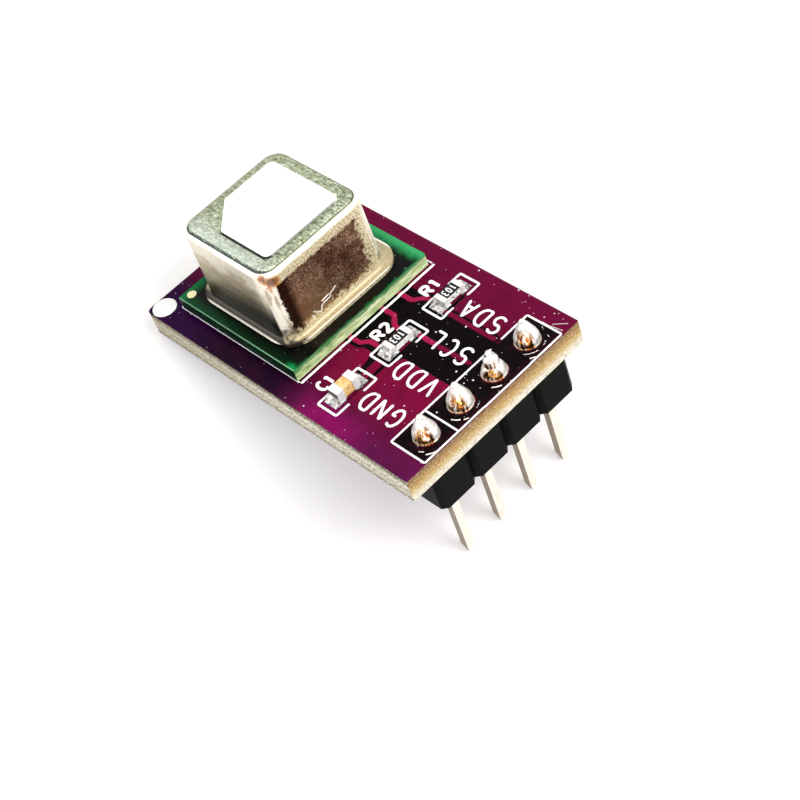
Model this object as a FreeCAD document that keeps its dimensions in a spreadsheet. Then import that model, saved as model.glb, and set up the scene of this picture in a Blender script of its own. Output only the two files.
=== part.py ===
# Temperature, humidity and gas sensor module: a carrier board with a sensor package, three chip
# parts and a four-pin header. Lengths are in millimetres, angles in degrees.
#
# Every piece is drawn in the board's own frame: X runs from the sensor end to the header end,
# Y from the near edge to the far edge, and Z = 0 is the board's top face. One common placement
# then sets the module down as it rests, on its pin tips and on the lower edge of the sensor end.
import FreeCAD
import Part
import Sketcher
import math
import os

pinCount = 4
lowSolderPin = 3
jointsPerSide = 5

driving = {
    # Carrier board and its copper
    "boardLength": 21.9,
    "boardWidth": 12.87,
    "boardThickness": 1.55,
    "boardCorner": 0.4,
    "headerEndCorner": 0.1,
    "copperThickness": 0.04,
    # Header row: pitch, distance of the pins from the board's end, and shift off its middle
    "pinPitch": 2.54,
    "rowFromEnd": 1.36,
    "rowShift": 0.13,
    # Plated holes
    "holeClearance": 0.09,
    "platingWall": 0.03,
    "ringWidth": 0.27,
    # Header pins, above the board and below their moulded strip
    "pinWidth": 0.5,
    "pinRise": 1.0,
    "pinTail": 5.55,
    "tipLength": 0.5,
    "tipWidth": 0.3,
    # Moulded strip, one unit for each pin
    "unitDepth": 2.5,
    "unitHeight": 2.54,
    "unitCorner": 0.32,
    "reliefSide": 1.3,
    "reliefDepth": 0.25,
    # Solder round the pins
    "ringBare": 0.05,
    "solderShoulder": 0.6,
    "solderShoulderLow": 0.44,
    "shoulderRise": 0.6,
    "shoulderBow": 0.8,
    "solderCollar": 0.05,
    "solderOverPin": 0.05,
    "solderTip": 0.47,
    "solderTipWidth": 0.3,
    "solderTipRound": 0.06,
    # Green sensor board and the joints under it
    "sensorFromEnd": 1.83,
    "sensorSide": 10.1,
    "sensorThickness": 0.8,
    "sensorCorner": 0.08,
    "jointHeight": 0.08,
    "jointPitch": 1.25,
    "jointLength": 0.8,
    "jointWidth": 0.55,
    "jointInset": 0.25,
    "centreJoint": 4.8,
    # Can
    "canShift": 0.08,
    "canWall": 0.2,
    "domeSide": 7.62,
    "domeCorner": 1.15,
    "domeHeight": 5.18,
    "domeTaper": 0.7,
    "domeShift": 0.16,
    "domeEdge": 0.46,
    "domeFoot": 0.3,
    "flangeWidth": 0.515,
    "flangeCorner": 1.7,
    "flangeSeat": 0.04,
    "ventDiameter": 0.8,
    "ventPitch": 2.0,
    # Film over the vents
    "filmMarginX": 0.975,
    "filmMarginY": 1.14,
    "filmShift": 0.07,
    "filmCut": 1.8,
    "filmCorner": 0.35,
    "filmThickness": 0.12,
    # Packages inside the can
    "innerMargin": 0.45,
    "emitterSide": 2.4,
    "emitterHeight": 1.1,
    "emitterWell": 1.0,
    "emitterWellDepth": 0.55,
    "windowSide": 1.5,
    "windowThickness": 0.3,
    "windowSeat": 0.2,
    "windowGap": 0.03,
    "microphoneLength": 2.75,
    "microphoneWidth": 1.85,
    "microphoneHeight": 0.9,
    "microphoneEdge": 0.15,
    "portDiameter": 0.4,
    "portDepth": 0.3,
    "dieSide": 1.5,
    "dieHeight": 0.54,
    "dieMouth": 0.8,
    "dieMouthDepth": 0.2,
    "controlSide": 3.0,
    "controlHeight": 0.75,
    "controlMark": 0.3,
    "controlMarkDepth": 0.05,
    # Chip resistors and capacitor, in a row across the board
    "chipGap": 2.37,
    "chipPitch": 4.0,
    "chipLength": 1.6,
    "chipWidth": 0.8,
    "resistorHeight": 0.45,
    "capacitorHeight": 0.7,
    "resistorEndCap": 0.3,
    "capacitorEndCap": 0.48,
    "endCapWall": 0.03,
    # Solder under and beside the chip parts
    "chipSolder": 0.05,
    "landWidth": 0.95,
    "landReach": 0.46,
    "landInside": 0.38,
    "filletRise": 0.3,
    "filletHollow": 0.7,
}

doc = FreeCAD.newDocument("SensorModule")
sizes = doc.addObject("Spreadsheet::Sheet", "sizes")
for row, (alias, size) in enumerate(driving.items(), start=1):
    sizes.set(f"A{row}", alias)
    sizes.set(f"B{row}", str(size))
    sizes.setAlias(f"B{row}", alias)
doc.recompute()

# Places and sizes that several pieces share, as expressions of the sheet's cells.
boardUnderside = "-sizes.boardThickness"
copperUnderside = f"{boardUnderside} - sizes.copperThickness"
stripUnderside = f"{copperUnderside} - sizes.unitHeight"
pinEnd = f"{stripUnderside} - sizes.pinTail"
pinX = "(sizes.boardLength - sizes.rowFromEnd)"
rowY = "(sizes.boardWidth / 2 + sizes.rowShift)"
sleeveRadius = "(sizes.pinWidth / sqrt(2) + sizes.holeClearance)"
drillRadius = f"({sleeveRadius} + sizes.platingWall)"
ringRadius = f"({drillRadius} + sizes.ringWidth)"

sensorX = "(sizes.sensorFromEnd + sizes.sensorSide / 2)"
sensorY = "(sizes.boardWidth / 2)"
sensorTop = "(sizes.jointHeight + sizes.sensorThickness)"
canX = f"({sensorX} - sizes.canShift)"
domeY = f"({sensorY} - sizes.domeShift)"
canTop = f"({sensorTop} + sizes.domeHeight)"
cavitySide = "(sizes.domeSide - 2 * sizes.canWall)"
footRadius = "min(sizes.domeFoot; sizes.flangeWidth - sizes.domeShift - sizes.flangeSeat)"

chipX = "(sizes.sensorFromEnd + sizes.sensorSide + sizes.chipGap + sizes.chipWidth / 2)"


def pinY(number):
    # Pins count from 1, at the near edge.
    return f"({rowY} + {number - (pinCount + 1) / 2} * sizes.pinPitch)"


def chipY(place):
    # Places count -1, 0 and 1 across the board's middle.
    return f"(sizes.boardWidth / 2 + {place} * sizes.chipPitch)"


def value(expression):
    # The number that an expression of the sheet's cells gives.
    return float(sizes.evalExpression(expression))


def newBody(label):
    body = doc.addObject("PartDesign::Body", label)
    body.Label = label
    return body


def originPart(body, role):
    return next(part for part in body.Origin.OriginFeatures if part.Role == role)


def newSketch(body, name, plane, away="0", right="0", up="0"):
    # A sketch on one of the body's origin planes. away is its distance along the plane's normal;
    # right and up move the sketch's own origin within the plane.
    sketch = body.newObject("Sketcher::SketchObject", name)
    sketch.AttachmentSupport = (originPart(body, plane), [""])
    sketch.MapMode = "FlatFace"
    sketch.setExpression("AttachmentOffset.Base.x", right)
    sketch.setExpression("AttachmentOffset.Base.y", up)
    sketch.setExpression("AttachmentOffset.Base.z", away)
    return sketch


def bind(sketch, kind, items, expression):
    index = sketch.addConstraint(Sketcher.Constraint(kind, *items, value(expression)))
    sketch.setExpression(f"Constraints[{index}]", expression)


def bow(start, finish, radius, outward):
    # An arc from start to finish. outward is 1 where it swells out of an outline that runs
    # anticlockwise, and -1 where it is hollow.
    chord = finish - start
    half = chord.Length / 2
    rise = radius - math.sqrt(radius ** 2 - half ** 2)
    side = FreeCAD.Vector(chord.y, -chord.x, 0).normalize()
    return Part.Arc(start, (start + finish) / 2 + side * rise * outward, finish)


def outline(sketch, corners, bows=None):
    # A closed anticlockwise outline. Each corner is held at its own two distances from the
    # sketch's origin, and bows gives the edges that are arcs: edge number to (radius, outward).
    bows = bows or {}
    first = sketch.GeometryCount
    places = [FreeCAD.Vector(value(x), value(y), 0) for x, y in corners]
    count = len(places)
    for number, start in enumerate(places):
        finish = places[(number + 1) % count]
        if number in bows:
            radius, outward = bows[number]
            edge = bow(start, finish, value(radius), outward)
        else:
            edge = Part.LineSegment(start, finish)
        sketch.addGeometry(edge, False)

    def endAt(number, place):
        # The end of an edge that lies at a place: 1 is its start and 2 its finish.
        edge = first + number % count
        fromStart = (sketch.getPoint(edge, 1) - place).Length
        fromFinish = (sketch.getPoint(edge, 2) - place).Length
        return edge, 1 if fromStart < fromFinish else 2

    for number, place in enumerate(places):
        here = endAt(number, place)
        sketch.addConstraint(Sketcher.Constraint("Coincident", *endAt(number - 1, place), *here))
        x, y = corners[number]
        bind(sketch, "DistanceX", (-1, 1, *here), x)
        bind(sketch, "DistanceY", (-1, 1, *here), y)
    for number, (radius, _) in bows.items():
        bind(sketch, "Radius", (first + number,), radius)


def cutCorners(left, right, low, high, cut):
    # The eight points of a rectangle whose corners are cut off.
    return [
        (f"{left} + {cut}", low), (f"{right} - {cut}", low),
        (right, f"{low} + {cut}"), (right, f"{high} - {cut}"),
        (f"{right} - {cut}", high), (f"{left} + {cut}", high),
        (left, f"{high} - {cut}"), (left, f"{low} + {cut}"),
    ]


def rectangle(sketch, x, y, wide, deep, corner=None):
    # A rectangle about its middle, with round corners where corner gives their radius.
    left, right = f"{x} - {wide} / 2", f"{x} + {wide} / 2"
    low, high = f"{y} - {deep} / 2", f"{y} + {deep} / 2"
    if corner:
        rounds = {number: (corner, 1) for number in (1, 3, 5, 7)}
        outline(sketch, cutCorners(left, right, low, high, corner), rounds)
    else:
        outline(sketch, [(left, low), (right, low), (right, high), (left, high)])


def circle(sketch, x, y, radius):
    middle = FreeCAD.Vector(value(x), value(y), 0)
    index = sketch.addGeometry(Part.Circle(middle, FreeCAD.Vector(0, 0, 1), value(radius)), False)
    bind(sketch, "DistanceX", (-1, 1, index, 3), x)
    bind(sketch, "DistanceY", (-1, 1, index, 3), y)
    bind(sketch, "Radius", (index,), radius)


def pad(body, name, sketch, length, taper=None, symmetric=False):
    feature = body.newObject("PartDesign::Pad", name)
    feature.Profile = sketch
    feature.setExpression("Length", length)
    if taper:
        feature.setExpression("TaperAngle", taper)
    if symmetric:
        feature.SideType = "Symmetric"
    doc.recompute()
    return feature


def pocket(body, name, sketch, depth, upward=False, taper=None):
    # Cuts down from the sketch, or up from it, and must take material away.
    before = body.Shape.Volume
    feature = body.newObject("PartDesign::Pocket", name)
    feature.Profile = sketch
    feature.Reversed = upward
    feature.setExpression("Length", depth)
    if taper:
        feature.setExpression("TaperAngle", taper)
    doc.recompute()
    if body.Shape.Volume >= before:
        raise RuntimeError(f"{name} cuts nothing")
    return feature


def revolution(body, name, sketch):
    feature = body.newObject("PartDesign::Revolution", name)
    feature.Profile = sketch
    feature.ReferenceAxis = (sketch, ["V_Axis"])
    feature.Angle = 360
    doc.recompute()
    return feature


def fillet(body, name, base, edges, radius):
    feature = body.newObject("PartDesign::Fillet", name)
    feature.Base = (base, edges)
    feature.setExpression("Radius", radius)
    doc.recompute()
    return feature


def repeatAlongRow(body, name, features):
    # Repeats features along Y, once for each pin of the header.
    row = body.newObject("PartDesign::LinearPattern", name)
    row.Originals = features
    row.Direction = (originPart(body, "Y_Axis"), [""])
    row.Mode = "Spacing"
    row.Occurrences = pinCount
    row.setExpression("Offset", "sizes.pinPitch")
    body.Tip = row
    doc.recompute()


def levelEdges(feature, height, reach=math.inf):
    # Names of the edges that lie level at a height, no further than reach from the dome's middle.
    level, middleX, middleY = value(height), value(canX), value(domeY)
    names = []
    for number, edge in enumerate(feature.Shape.Edges, start=1):
        points = [vertex.Point for vertex in edge.Vertexes]
        isLevel = all(abs(point.z - level) < 1e-5 for point in points)
        isNear = all(max(abs(point.x - middleX), abs(point.y - middleY)) < reach for point in points)
        if isLevel and isNear:
            names.append(f"Edge{number}")
    return names


def uprightEdges(feature, low=-math.inf, high=math.inf):
    # Names of the edges that run straight up, where X is between low and high.
    names = []
    for number, edge in enumerate(feature.Shape.Edges, start=1):
        start, finish = edge.Vertexes[0].Point, edge.Vertexes[-1].Point
        isUpright = math.hypot(finish.x - start.x, finish.y - start.y) < 1e-5
        if isUpright and low < start.x < high:
            names.append(f"Edge{number}")
    return names


def carrierBoard():
    # Glass-epoxy board with one row of drilled holes, rounder at the sensor end's corners.
    body = newBody("carrier_board")
    face = newSketch(body, "boardOutline", "XY_Plane", boardUnderside)
    rectangle(face, "sizes.boardLength / 2", "sizes.boardWidth / 2",
              "sizes.boardLength", "sizes.boardWidth")
    slab = pad(body, "boardPad", face, "sizes.boardThickness")
    middle = value("sizes.boardLength / 2")
    rounded = fillet(body, "sensorEndCorners", slab, uprightEdges(slab, high=middle),
                     "sizes.boardCorner")
    fillet(body, "headerEndCorners", rounded, uprightEdges(rounded, low=middle),
           "sizes.headerEndCorner")
    hole = newSketch(body, "boardHole", "XY_Plane")
    circle(hole, pinX, pinY(1), drillRadius)
    drilled = pocket(body, "boardDrill", hole, "sizes.boardThickness")
    repeatAlongRow(body, "boardHoles", [drilled])
    return body


def platedHole(number):
    # Copper sleeve through the board, with a ring on each face.
    body = newBody(f"plated_hole_{number}")
    sketch = newSketch(body, f"sleeve{number}", "XZ_Plane", f"-{pinY(number)}", pinX, copperUnderside)
    lowFace = "sizes.copperThickness"
    highFace = "sizes.copperThickness + sizes.boardThickness"
    top = "2 * sizes.copperThickness + sizes.boardThickness"
    outline(sketch, [
        (sleeveRadius, "0"), (ringRadius, "0"), (ringRadius, lowFace), (drillRadius, lowFace),
        (drillRadius, highFace), (ringRadius, highFace), (ringRadius, top), (sleeveRadius, top),
    ])
    revolution(body, f"sleeveTurn{number}", sketch)
    return body


def pinSolder(number):
    # Solder that fills the sleeve, bulges over the ring and closes over the end of the pin.
    body = newBody(f"pin_solder_{number}")
    wide = "sizes.solderShoulderLow" if number == lowSolderPin else "sizes.solderShoulder"
    sketch = newSketch(body, f"cone{number}", "XZ_Plane", f"-{pinY(number)}", pinX, copperUnderside)
    base = f"{ringRadius} - sizes.ringBare"
    collar = "(sizes.pinWidth / sqrt(2) + sizes.solderCollar)"
    ringTop = "2 * sizes.copperThickness + sizes.boardThickness"
    shoulder = f"{ringTop} + sizes.shoulderRise"
    neck = "sizes.copperThickness + sizes.boardThickness + sizes.pinRise + sizes.solderOverPin"
    tipFoot = f"{neck} + sizes.solderTip"
    tipHalf = "sizes.solderTipWidth / 2"
    # The tip closes in an arc about a point on the pin's axis.
    tipRadius = f"(({tipHalf}) ^ 2 + sizes.solderTipRound ^ 2) / (2 * sizes.solderTipRound)"
    cone = [("0", "0"), (sleeveRadius, "0"), (sleeveRadius, ringTop), (base, ringTop),
            (wide, shoulder), (collar, neck), (tipHalf, tipFoot), ("0", f"{tipFoot} + sizes.solderTipRound")]
    outline(sketch, cone, {3: ("sizes.shoulderBow", 1), 6: (tipRadius, 1)})
    revolution(body, f"coneTurn{number}", sketch)
    square = newSketch(body, f"pinRoom{number}", "XY_Plane", "sizes.pinRise")
    rectangle(square, pinX, pinY(number), "sizes.pinWidth", "sizes.pinWidth")
    depth = "sizes.pinRise + sizes.boardThickness + sizes.copperThickness"
    pocket(body, f"pinRoomCut{number}", square, depth)
    return body


def headerPin(number):
    # Square pin, drawn down to a smaller square at its free end.
    body = newBody(f"header_pin_{number}")
    x, y = pinX, pinY(number)
    shaftEnd = f"{pinEnd} + sizes.tipLength"
    shaft = newSketch(body, f"shaft{number}", "XY_Plane", shaftEnd)
    rectangle(shaft, x, y, "sizes.pinWidth", "sizes.pinWidth")
    pad(body, f"shaftPad{number}", shaft, f"sizes.pinRise - ({shaftEnd})")
    root = newSketch(body, f"tipRoot{number}", "XY_Plane", shaftEnd)
    rectangle(root, x, y, "sizes.pinWidth", "sizes.pinWidth")
    end = newSketch(body, f"tipEnd{number}", "XY_Plane", pinEnd)
    rectangle(end, x, y, "sizes.tipWidth", "sizes.tipWidth")
    tip = body.newObject("PartDesign::AdditiveLoft", f"tip{number}")
    tip.Profile = root
    tip.Sections = [end]
    tip.Ruled = True
    doc.recompute()
    return body


def headerInsulator():
    # Moulded strip of eight-sided units, each with a square pin hole and a relief under the board.
    body = newBody("header_insulator")
    x, y = pinX, pinY(1)
    unit = newSketch(body, "unitOutline", "XY_Plane", stripUnderside)
    left, right = f"{x} - sizes.unitDepth / 2", f"{x} + sizes.unitDepth / 2"
    low, high = f"{y} - sizes.pinPitch / 2", f"{y} + sizes.pinPitch / 2"
    outline(unit, cutCorners(left, right, low, high, "sizes.unitCorner"))
    block = pad(body, "unitBlock", unit, "sizes.unitHeight")
    hole = newSketch(body, "pinHole", "XY_Plane", copperUnderside)
    rectangle(hole, x, y, "sizes.pinWidth", "sizes.pinWidth")
    holeCut = pocket(body, "pinHoleCut", hole, "sizes.unitHeight")
    relief = newSketch(body, "relief", "XY_Plane", copperUnderside)
    rectangle(relief, x, y, "sizes.reliefSide", "sizes.reliefSide")
    reliefCut = pocket(body, "reliefCut", relief, "sizes.reliefDepth")
    repeatAlongRow(body, "strip", [block, holeCut, reliefCut])
    return body


def sensorBoard():
    # Square green substrate of the sensor package.
    body = newBody("sensor_board")
    sketch = newSketch(body, "sensorOutline", "XY_Plane", "sizes.jointHeight")
    rectangle(sketch, sensorX, sensorY, "sizes.sensorSide", "sizes.sensorSide", "sizes.sensorCorner")
    pad(body, "sensorPad", sketch, "sizes.sensorThickness")
    return body


def sensorJoints():
    # Flat solder joints under the green board: a row along each side and a square in the middle.
    body = newBody("sensor_solder_joints")
    sketch = newSketch(body, "joints", "XY_Plane")
    rectangle(sketch, sensorX, sensorY, "sizes.centreJoint", "sizes.centreJoint")
    reach = "(sizes.sensorSide / 2 - sizes.jointInset - sizes.jointLength / 2)"
    for number in range(jointsPerSide):
        along = f"{number - (jointsPerSide - 1) / 2} * sizes.jointPitch"
        for side in "+-":
            rectangle(sketch, f"{sensorX} {side} {reach}", f"{sensorY} + {along}",
                      "sizes.jointLength", "sizes.jointWidth")
            rectangle(sketch, f"{sensorX} + {along}", f"{sensorY} {side} {reach}",
                      "sizes.jointWidth", "sizes.jointLength")
    pad(body, "jointPad", sketch, "sizes.jointHeight")
    return body


def sensorCan():
    # Drawn can: a tapered dome with round edges that bends out into a flat flange, one wall
    # thickness throughout, with gas vents in its top.
    body = newBody("sensor_can")
    foot = newSketch(body, "domeOutline", "XY_Plane", sensorTop)
    rectangle(foot, canX, domeY, "sizes.domeSide", "sizes.domeSide", "sizes.domeCorner")
    dome = pad(body, "dome", foot, "sizes.domeHeight", "-sizes.domeTaper")
    fillet(body, "domeCrown", dome, levelEdges(dome, canTop), "sizes.domeEdge")
    rim = newSketch(body, "flangeOutline", "XY_Plane", sensorTop)
    flangeSide = "(sizes.domeSide + 2 * sizes.flangeWidth)"
    rectangle(rim, canX, sensorY, flangeSide, flangeSide, "sizes.flangeCorner")
    flange = pad(body, "flange", rim, "sizes.canWall")
    # The bend's edge lies on the dome, and every edge of the rim lies further out.
    halfway = value("(sizes.domeSide + sizes.flangeWidth - sizes.domeShift) / 2")
    bendEdges = levelEdges(flange, f"{sensorTop} + sizes.canWall", halfway)
    fillet(body, "flangeBend", flange, bendEdges, footRadius)
    hollow = newSketch(body, "cavityOutline", "XY_Plane", sensorTop)
    rectangle(hollow, canX, domeY, cavitySide, cavitySide, "(sizes.domeCorner - sizes.canWall)")
    cavity = pocket(body, "cavity", hollow, "sizes.domeHeight - sizes.canWall", upward=True,
                    taper="-sizes.domeTaper")
    ceiling = levelEdges(cavity, f"{canTop} - sizes.canWall")
    bent = fillet(body, "ceilingBend", cavity, ceiling, "sizes.domeEdge - sizes.canWall")
    mouth = levelEdges(bent, sensorTop, value("sizes.domeSide / 2"))
    fillet(body, "mouthBend", bent, mouth, f"{footRadius} + sizes.canWall")
    vents = newSketch(body, "ventCircles", "XY_Plane", canTop)
    for sideX in "+-":
        for sideY in "+-":
            circle(vents, f"{canX} {sideX} sizes.ventPitch / 2",
                   f"{domeY} {sideY} sizes.ventPitch / 2", "sizes.ventDiameter / 2")
    pocket(body, "vents", vents, "sizes.canWall")
    return body


def gasMembrane():
    # Film over the vents, with the corner at the near edge of the sensor end cut off.
    body = newBody("gas_membrane")
    sketch = newSketch(body, "filmOutline", "XY_Plane", canTop)
    halfX = "(sizes.domeSide / 2 - sizes.filmMarginX)"
    halfY = "(sizes.domeSide / 2 - sizes.filmMarginY)"
    left, right = f"{canX} - {halfX}", f"{canX} + {halfX}"
    low, high = f"{domeY} + sizes.filmShift - {halfY}", f"{domeY} + sizes.filmShift + {halfY}"
    outline(sketch, [(f"{left} + sizes.filmCut", low), (right, low), (right, high),
                     (left, high), (left, f"{low} + sizes.filmCut")])
    film = pad(body, "film", sketch, "sizes.filmThickness")
    fillet(body, "filmCorners", film, uprightEdges(film), "sizes.filmCorner")
    return body


def cavityCorner(sideX, sideY, wide, deep):
    # Middle of a package that stands in one corner of the can, clear of both its walls.
    stepX = f"({cavitySide} / 2 - sizes.innerMargin - {wide} / 2)"
    stepY = f"({cavitySide} / 2 - sizes.innerMargin - {deep} / 2)"
    return f"({canX} {sideX} {stepX})", f"({domeY} {sideY} {stepY})"


def infraredEmitter():
    # Emitter package with an open well and a seat for its window.
    body = newBody("infrared_emitter")
    side = "sizes.emitterSide"
    x, y = cavityCorner("-", "+", side, side)
    top = f"{sensorTop} + sizes.emitterHeight"
    sketch = newSketch(body, "emitterOutline", "XY_Plane", sensorTop)
    rectangle(sketch, x, y, side, side)
    pad(body, "emitterBlock", sketch, "sizes.emitterHeight")
    seat = newSketch(body, "windowSeat", "XY_Plane", top)
    seatSide = "(sizes.windowSide + 2 * sizes.windowGap)"
    rectangle(seat, x, y, seatSide, seatSide)
    pocket(body, "windowSeatCut", seat, "sizes.windowSeat")
    well = newSketch(body, "well", "XY_Plane", f"{top} - sizes.windowSeat")
    circle(well, x, y, "sizes.emitterWell / 2")
    pocket(body, "wellCut", well, "sizes.emitterWellDepth")
    return body


def infraredFilter():
    # Band-pass window that lies in the emitter's seat.
    body = newBody("infrared_filter")
    x, y = cavityCorner("-", "+", "sizes.emitterSide", "sizes.emitterSide")
    seat = f"{sensorTop} + sizes.emitterHeight - sizes.windowSeat"
    sketch = newSketch(body, "windowOutline", "XY_Plane", seat)
    rectangle(sketch, x, y, "sizes.windowSide", "sizes.windowSide")
    pad(body, "window", sketch, "sizes.windowThickness")
    return body


def gasMicrophone():
    # Metal-lidded microphone with a round sound port.
    body = newBody("gas_microphone")
    long, deep = "sizes.microphoneLength", "sizes.microphoneWidth"
    x, y = cavityCorner("+", "+", long, deep)
    top = f"{sensorTop} + sizes.microphoneHeight"
    sketch = newSketch(body, "microphoneOutline", "XY_Plane", sensorTop)
    rectangle(sketch, x, y, long, deep)
    block = pad(body, "microphoneBlock", sketch, "sizes.microphoneHeight")
    fillet(body, "microphoneLid", block, uprightEdges(block), "sizes.microphoneEdge")
    port = newSketch(body, "port", "XY_Plane", top)
    circle(port, x, y, "sizes.portDiameter / 2")
    pocket(body, "portCut", port, "sizes.portDepth")
    return body


def climateDie():
    # Humidity and temperature chip, open at the top over its sensing film.
    body = newBody("humidity_temperature_die")
    side = "sizes.dieSide"
    x, y = cavityCorner("-", "-", side, side)
    sketch = newSketch(body, "dieOutline", "XY_Plane", sensorTop)
    rectangle(sketch, x, y, side, side)
    pad(body, "dieBlock", sketch, "sizes.dieHeight")
    mouth = newSketch(body, "dieMouth", "XY_Plane", f"{sensorTop} + sizes.dieHeight")
    circle(mouth, x, y, "sizes.dieMouth / 2")
    pocket(body, "dieMouthCut", mouth, "sizes.dieMouthDepth")
    return body


def controlChip():
    # Flat square package with a round first-pin mark in its top.
    body = newBody("control_chip")
    side = "sizes.controlSide"
    x, y = cavityCorner("+", "-", side, side)
    sketch = newSketch(body, "controlOutline", "XY_Plane", sensorTop)
    rectangle(sketch, x, y, side, side)
    pad(body, "controlBlock", sketch, "sizes.controlHeight")
    mark = newSketch(body, "controlMark", "XY_Plane", f"{sensorTop} + sizes.controlHeight")
    toMark = f"({side} / 2 - 1.5 * sizes.controlMark)"
    circle(mark, f"{x} - {toMark}", f"{y} - {toMark}", "sizes.controlMark / 2")
    pocket(body, "controlMarkCut", mark, "sizes.controlMarkDepth")
    return body


def chipCore(label, place, height):
    # Ceramic block of a chip part, smaller than the part all round by the end caps' wall.
    body = newBody(label)
    wall = "sizes.endCapWall"
    sketch = newSketch(body, f"{label}Outline", "XY_Plane", f"sizes.chipSolder + {wall}")
    rectangle(sketch, chipX, chipY(place),
              f"(sizes.chipWidth - 2 * {wall})", f"(sizes.chipLength - 2 * {wall})")
    pad(body, f"{label}Block", sketch, f"{height} - 2 * {wall}")
    return body


def endCaps(label, place, height, reach):
    # The two plated end caps, each a thin box that is open towards the other.
    body = newBody(label)
    y = chipY(place)
    wall = "sizes.endCapWall"
    ends = newSketch(body, f"{label}Outline", "XY_Plane", "sizes.chipSolder")
    toCap = f"(sizes.chipLength / 2 - {reach} / 2)"
    for side in "+-":
        rectangle(ends, chipX, f"{y} {side} {toCap}", "sizes.chipWidth", reach)
    pad(body, f"{label}Blocks", ends, height)
    room = newSketch(body, f"{label}Room", "XZ_Plane", f"sizes.chipLength / 2 - {wall} - {y}")
    rectangle(room, chipX, f"sizes.chipSolder + {height} / 2",
              f"(sizes.chipWidth - 2 * {wall})", f"({height} - 2 * {wall})")
    pocket(body, f"{label}RoomCut", room, f"sizes.chipLength - 2 * {wall}")
    return body


def chipSolder(label, place):
    # A film of solder under each end cap, and a hollow fillet up its end.
    body = newBody(label)
    sketch = newSketch(body, f"{label}Profile", "YZ_Plane", chipX)
    film = "sizes.chipSolder"
    top = f"{film} + sizes.filletRise"
    farEnd = f"{chipY(place)} + sizes.chipLength / 2"
    nearEnd = f"{chipY(place)} - sizes.chipLength / 2"
    outline(sketch, [(f"{farEnd} - sizes.landInside", "0"), (f"{farEnd} + sizes.landReach", "0"),
                     (farEnd, top), (farEnd, film), (f"{farEnd} - sizes.landInside", film)],
            {1: ("sizes.filletHollow", -1)})
    outline(sketch, [(f"{nearEnd} - sizes.landReach", "0"), (f"{nearEnd} + sizes.landInside", "0"),
                     (f"{nearEnd} + sizes.landInside", film), (nearEnd, film), (nearEnd, top)],
            {4: ("sizes.filletHollow", -1)})
    pad(body, f"{label}Pad", sketch, "sizes.landWidth", symmetric=True)
    return body


def restPlacement():
    # Turns the board's frame so that the pin tips and the sensor end's lower edge are level, and
    # lifts it so that both touch Z = 0.
    drop = value(boardUnderside) - value(pinEnd)
    reach = value(f"{pinX} - sizes.tipWidth / 2")
    tilt = math.atan2(drop, reach)
    turn = FreeCAD.Rotation(FreeCAD.Vector(0, 1, 0), -math.degrees(tilt))
    lift = value("sizes.boardThickness") * math.cos(tilt)
    return FreeCAD.Placement(FreeCAD.Vector(0, 0, lift), turn)


def setDown(pieces):
    # Gives every piece the rest placement, with the origin under the middle of the whole module.
    rest = restPlacement()
    for piece in pieces:
        piece.Placement = rest
    doc.recompute()
    whole = FreeCAD.BoundBox()
    for piece in pieces:
        whole.add(piece.Shape.optimalBoundingBox(False, False))
    centre = FreeCAD.Vector(whole.Center.x, whole.Center.y, whole.ZMin)
    for piece in pieces:
        piece.Placement = FreeCAD.Placement(rest.Base - centre, rest.Rotation)
    doc.recompute()


def checkDocument(pieces):
    for item in doc.Objects:
        if "Invalid" in item.State or "Error" in item.State:
            raise RuntimeError(f"{item.Name} did not build: {item.State}")
    for piece in pieces:
        if piece.Shape.isNull() or not piece.Shape.isValid():
            raise RuntimeError(f"{piece.Label} has no valid shape")


pieces = [carrierBoard(), headerInsulator()]
for number in range(1, pinCount + 1):
    pieces += [platedHole(number), headerPin(number), pinSolder(number)]
pieces += [sensorBoard(), sensorJoints(), sensorCan(), gasMembrane()]
pieces += [infraredEmitter(), infraredFilter(), gasMicrophone(), climateDie(), controlChip()]
chips = (
    ("capacitor", -1, "sizes.capacitorHeight", "sizes.capacitorEndCap"),
    ("resistor_2", 0, "sizes.resistorHeight", "sizes.resistorEndCap"),
    ("resistor_1", 1, "sizes.resistorHeight", "sizes.resistorEndCap"),
)
for name, place, height, reach in chips:
    pieces.append(chipCore(f"{name}_body", place, height))
    pieces.append(endCaps(f"{name}_end_caps", place, height, reach))
    pieces.append(chipSolder(f"{name}_solder", place))

setDown(pieces)
checkDocument(pieces)
os.makedirs("parts", exist_ok=True)
for piece in pieces:
    piece.Shape.exportStep(f"parts/{piece.Label}.step")
print(len(pieces), "pieces written")
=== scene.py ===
import math
from functools import partial

import bpy
import numpy as np
from mathutils import Matrix, Vector


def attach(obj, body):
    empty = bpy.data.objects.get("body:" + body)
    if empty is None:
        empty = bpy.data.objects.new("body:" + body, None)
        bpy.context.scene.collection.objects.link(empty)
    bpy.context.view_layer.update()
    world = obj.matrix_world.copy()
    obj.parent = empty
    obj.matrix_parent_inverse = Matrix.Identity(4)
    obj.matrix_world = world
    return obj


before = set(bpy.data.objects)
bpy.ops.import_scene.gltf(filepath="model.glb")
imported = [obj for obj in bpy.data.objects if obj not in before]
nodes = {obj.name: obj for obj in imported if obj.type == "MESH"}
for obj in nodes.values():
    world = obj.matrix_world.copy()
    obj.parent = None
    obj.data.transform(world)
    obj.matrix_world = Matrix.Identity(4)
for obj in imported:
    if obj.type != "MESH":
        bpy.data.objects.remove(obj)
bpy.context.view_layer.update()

# The board leans on its header pins. Most shapes here are drawn in the board's own frame, in millimetres:
# x from the sensor end to the header end, y from the near edge to the far edge, z up from the board's top face.
placing = {
    "tilt": math.radians(21.738399),
    "origin": (-11.401899, -6.435, 1.439771),
}
metre = 0.001  # one millimetre, in the row frame's metres


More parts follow.
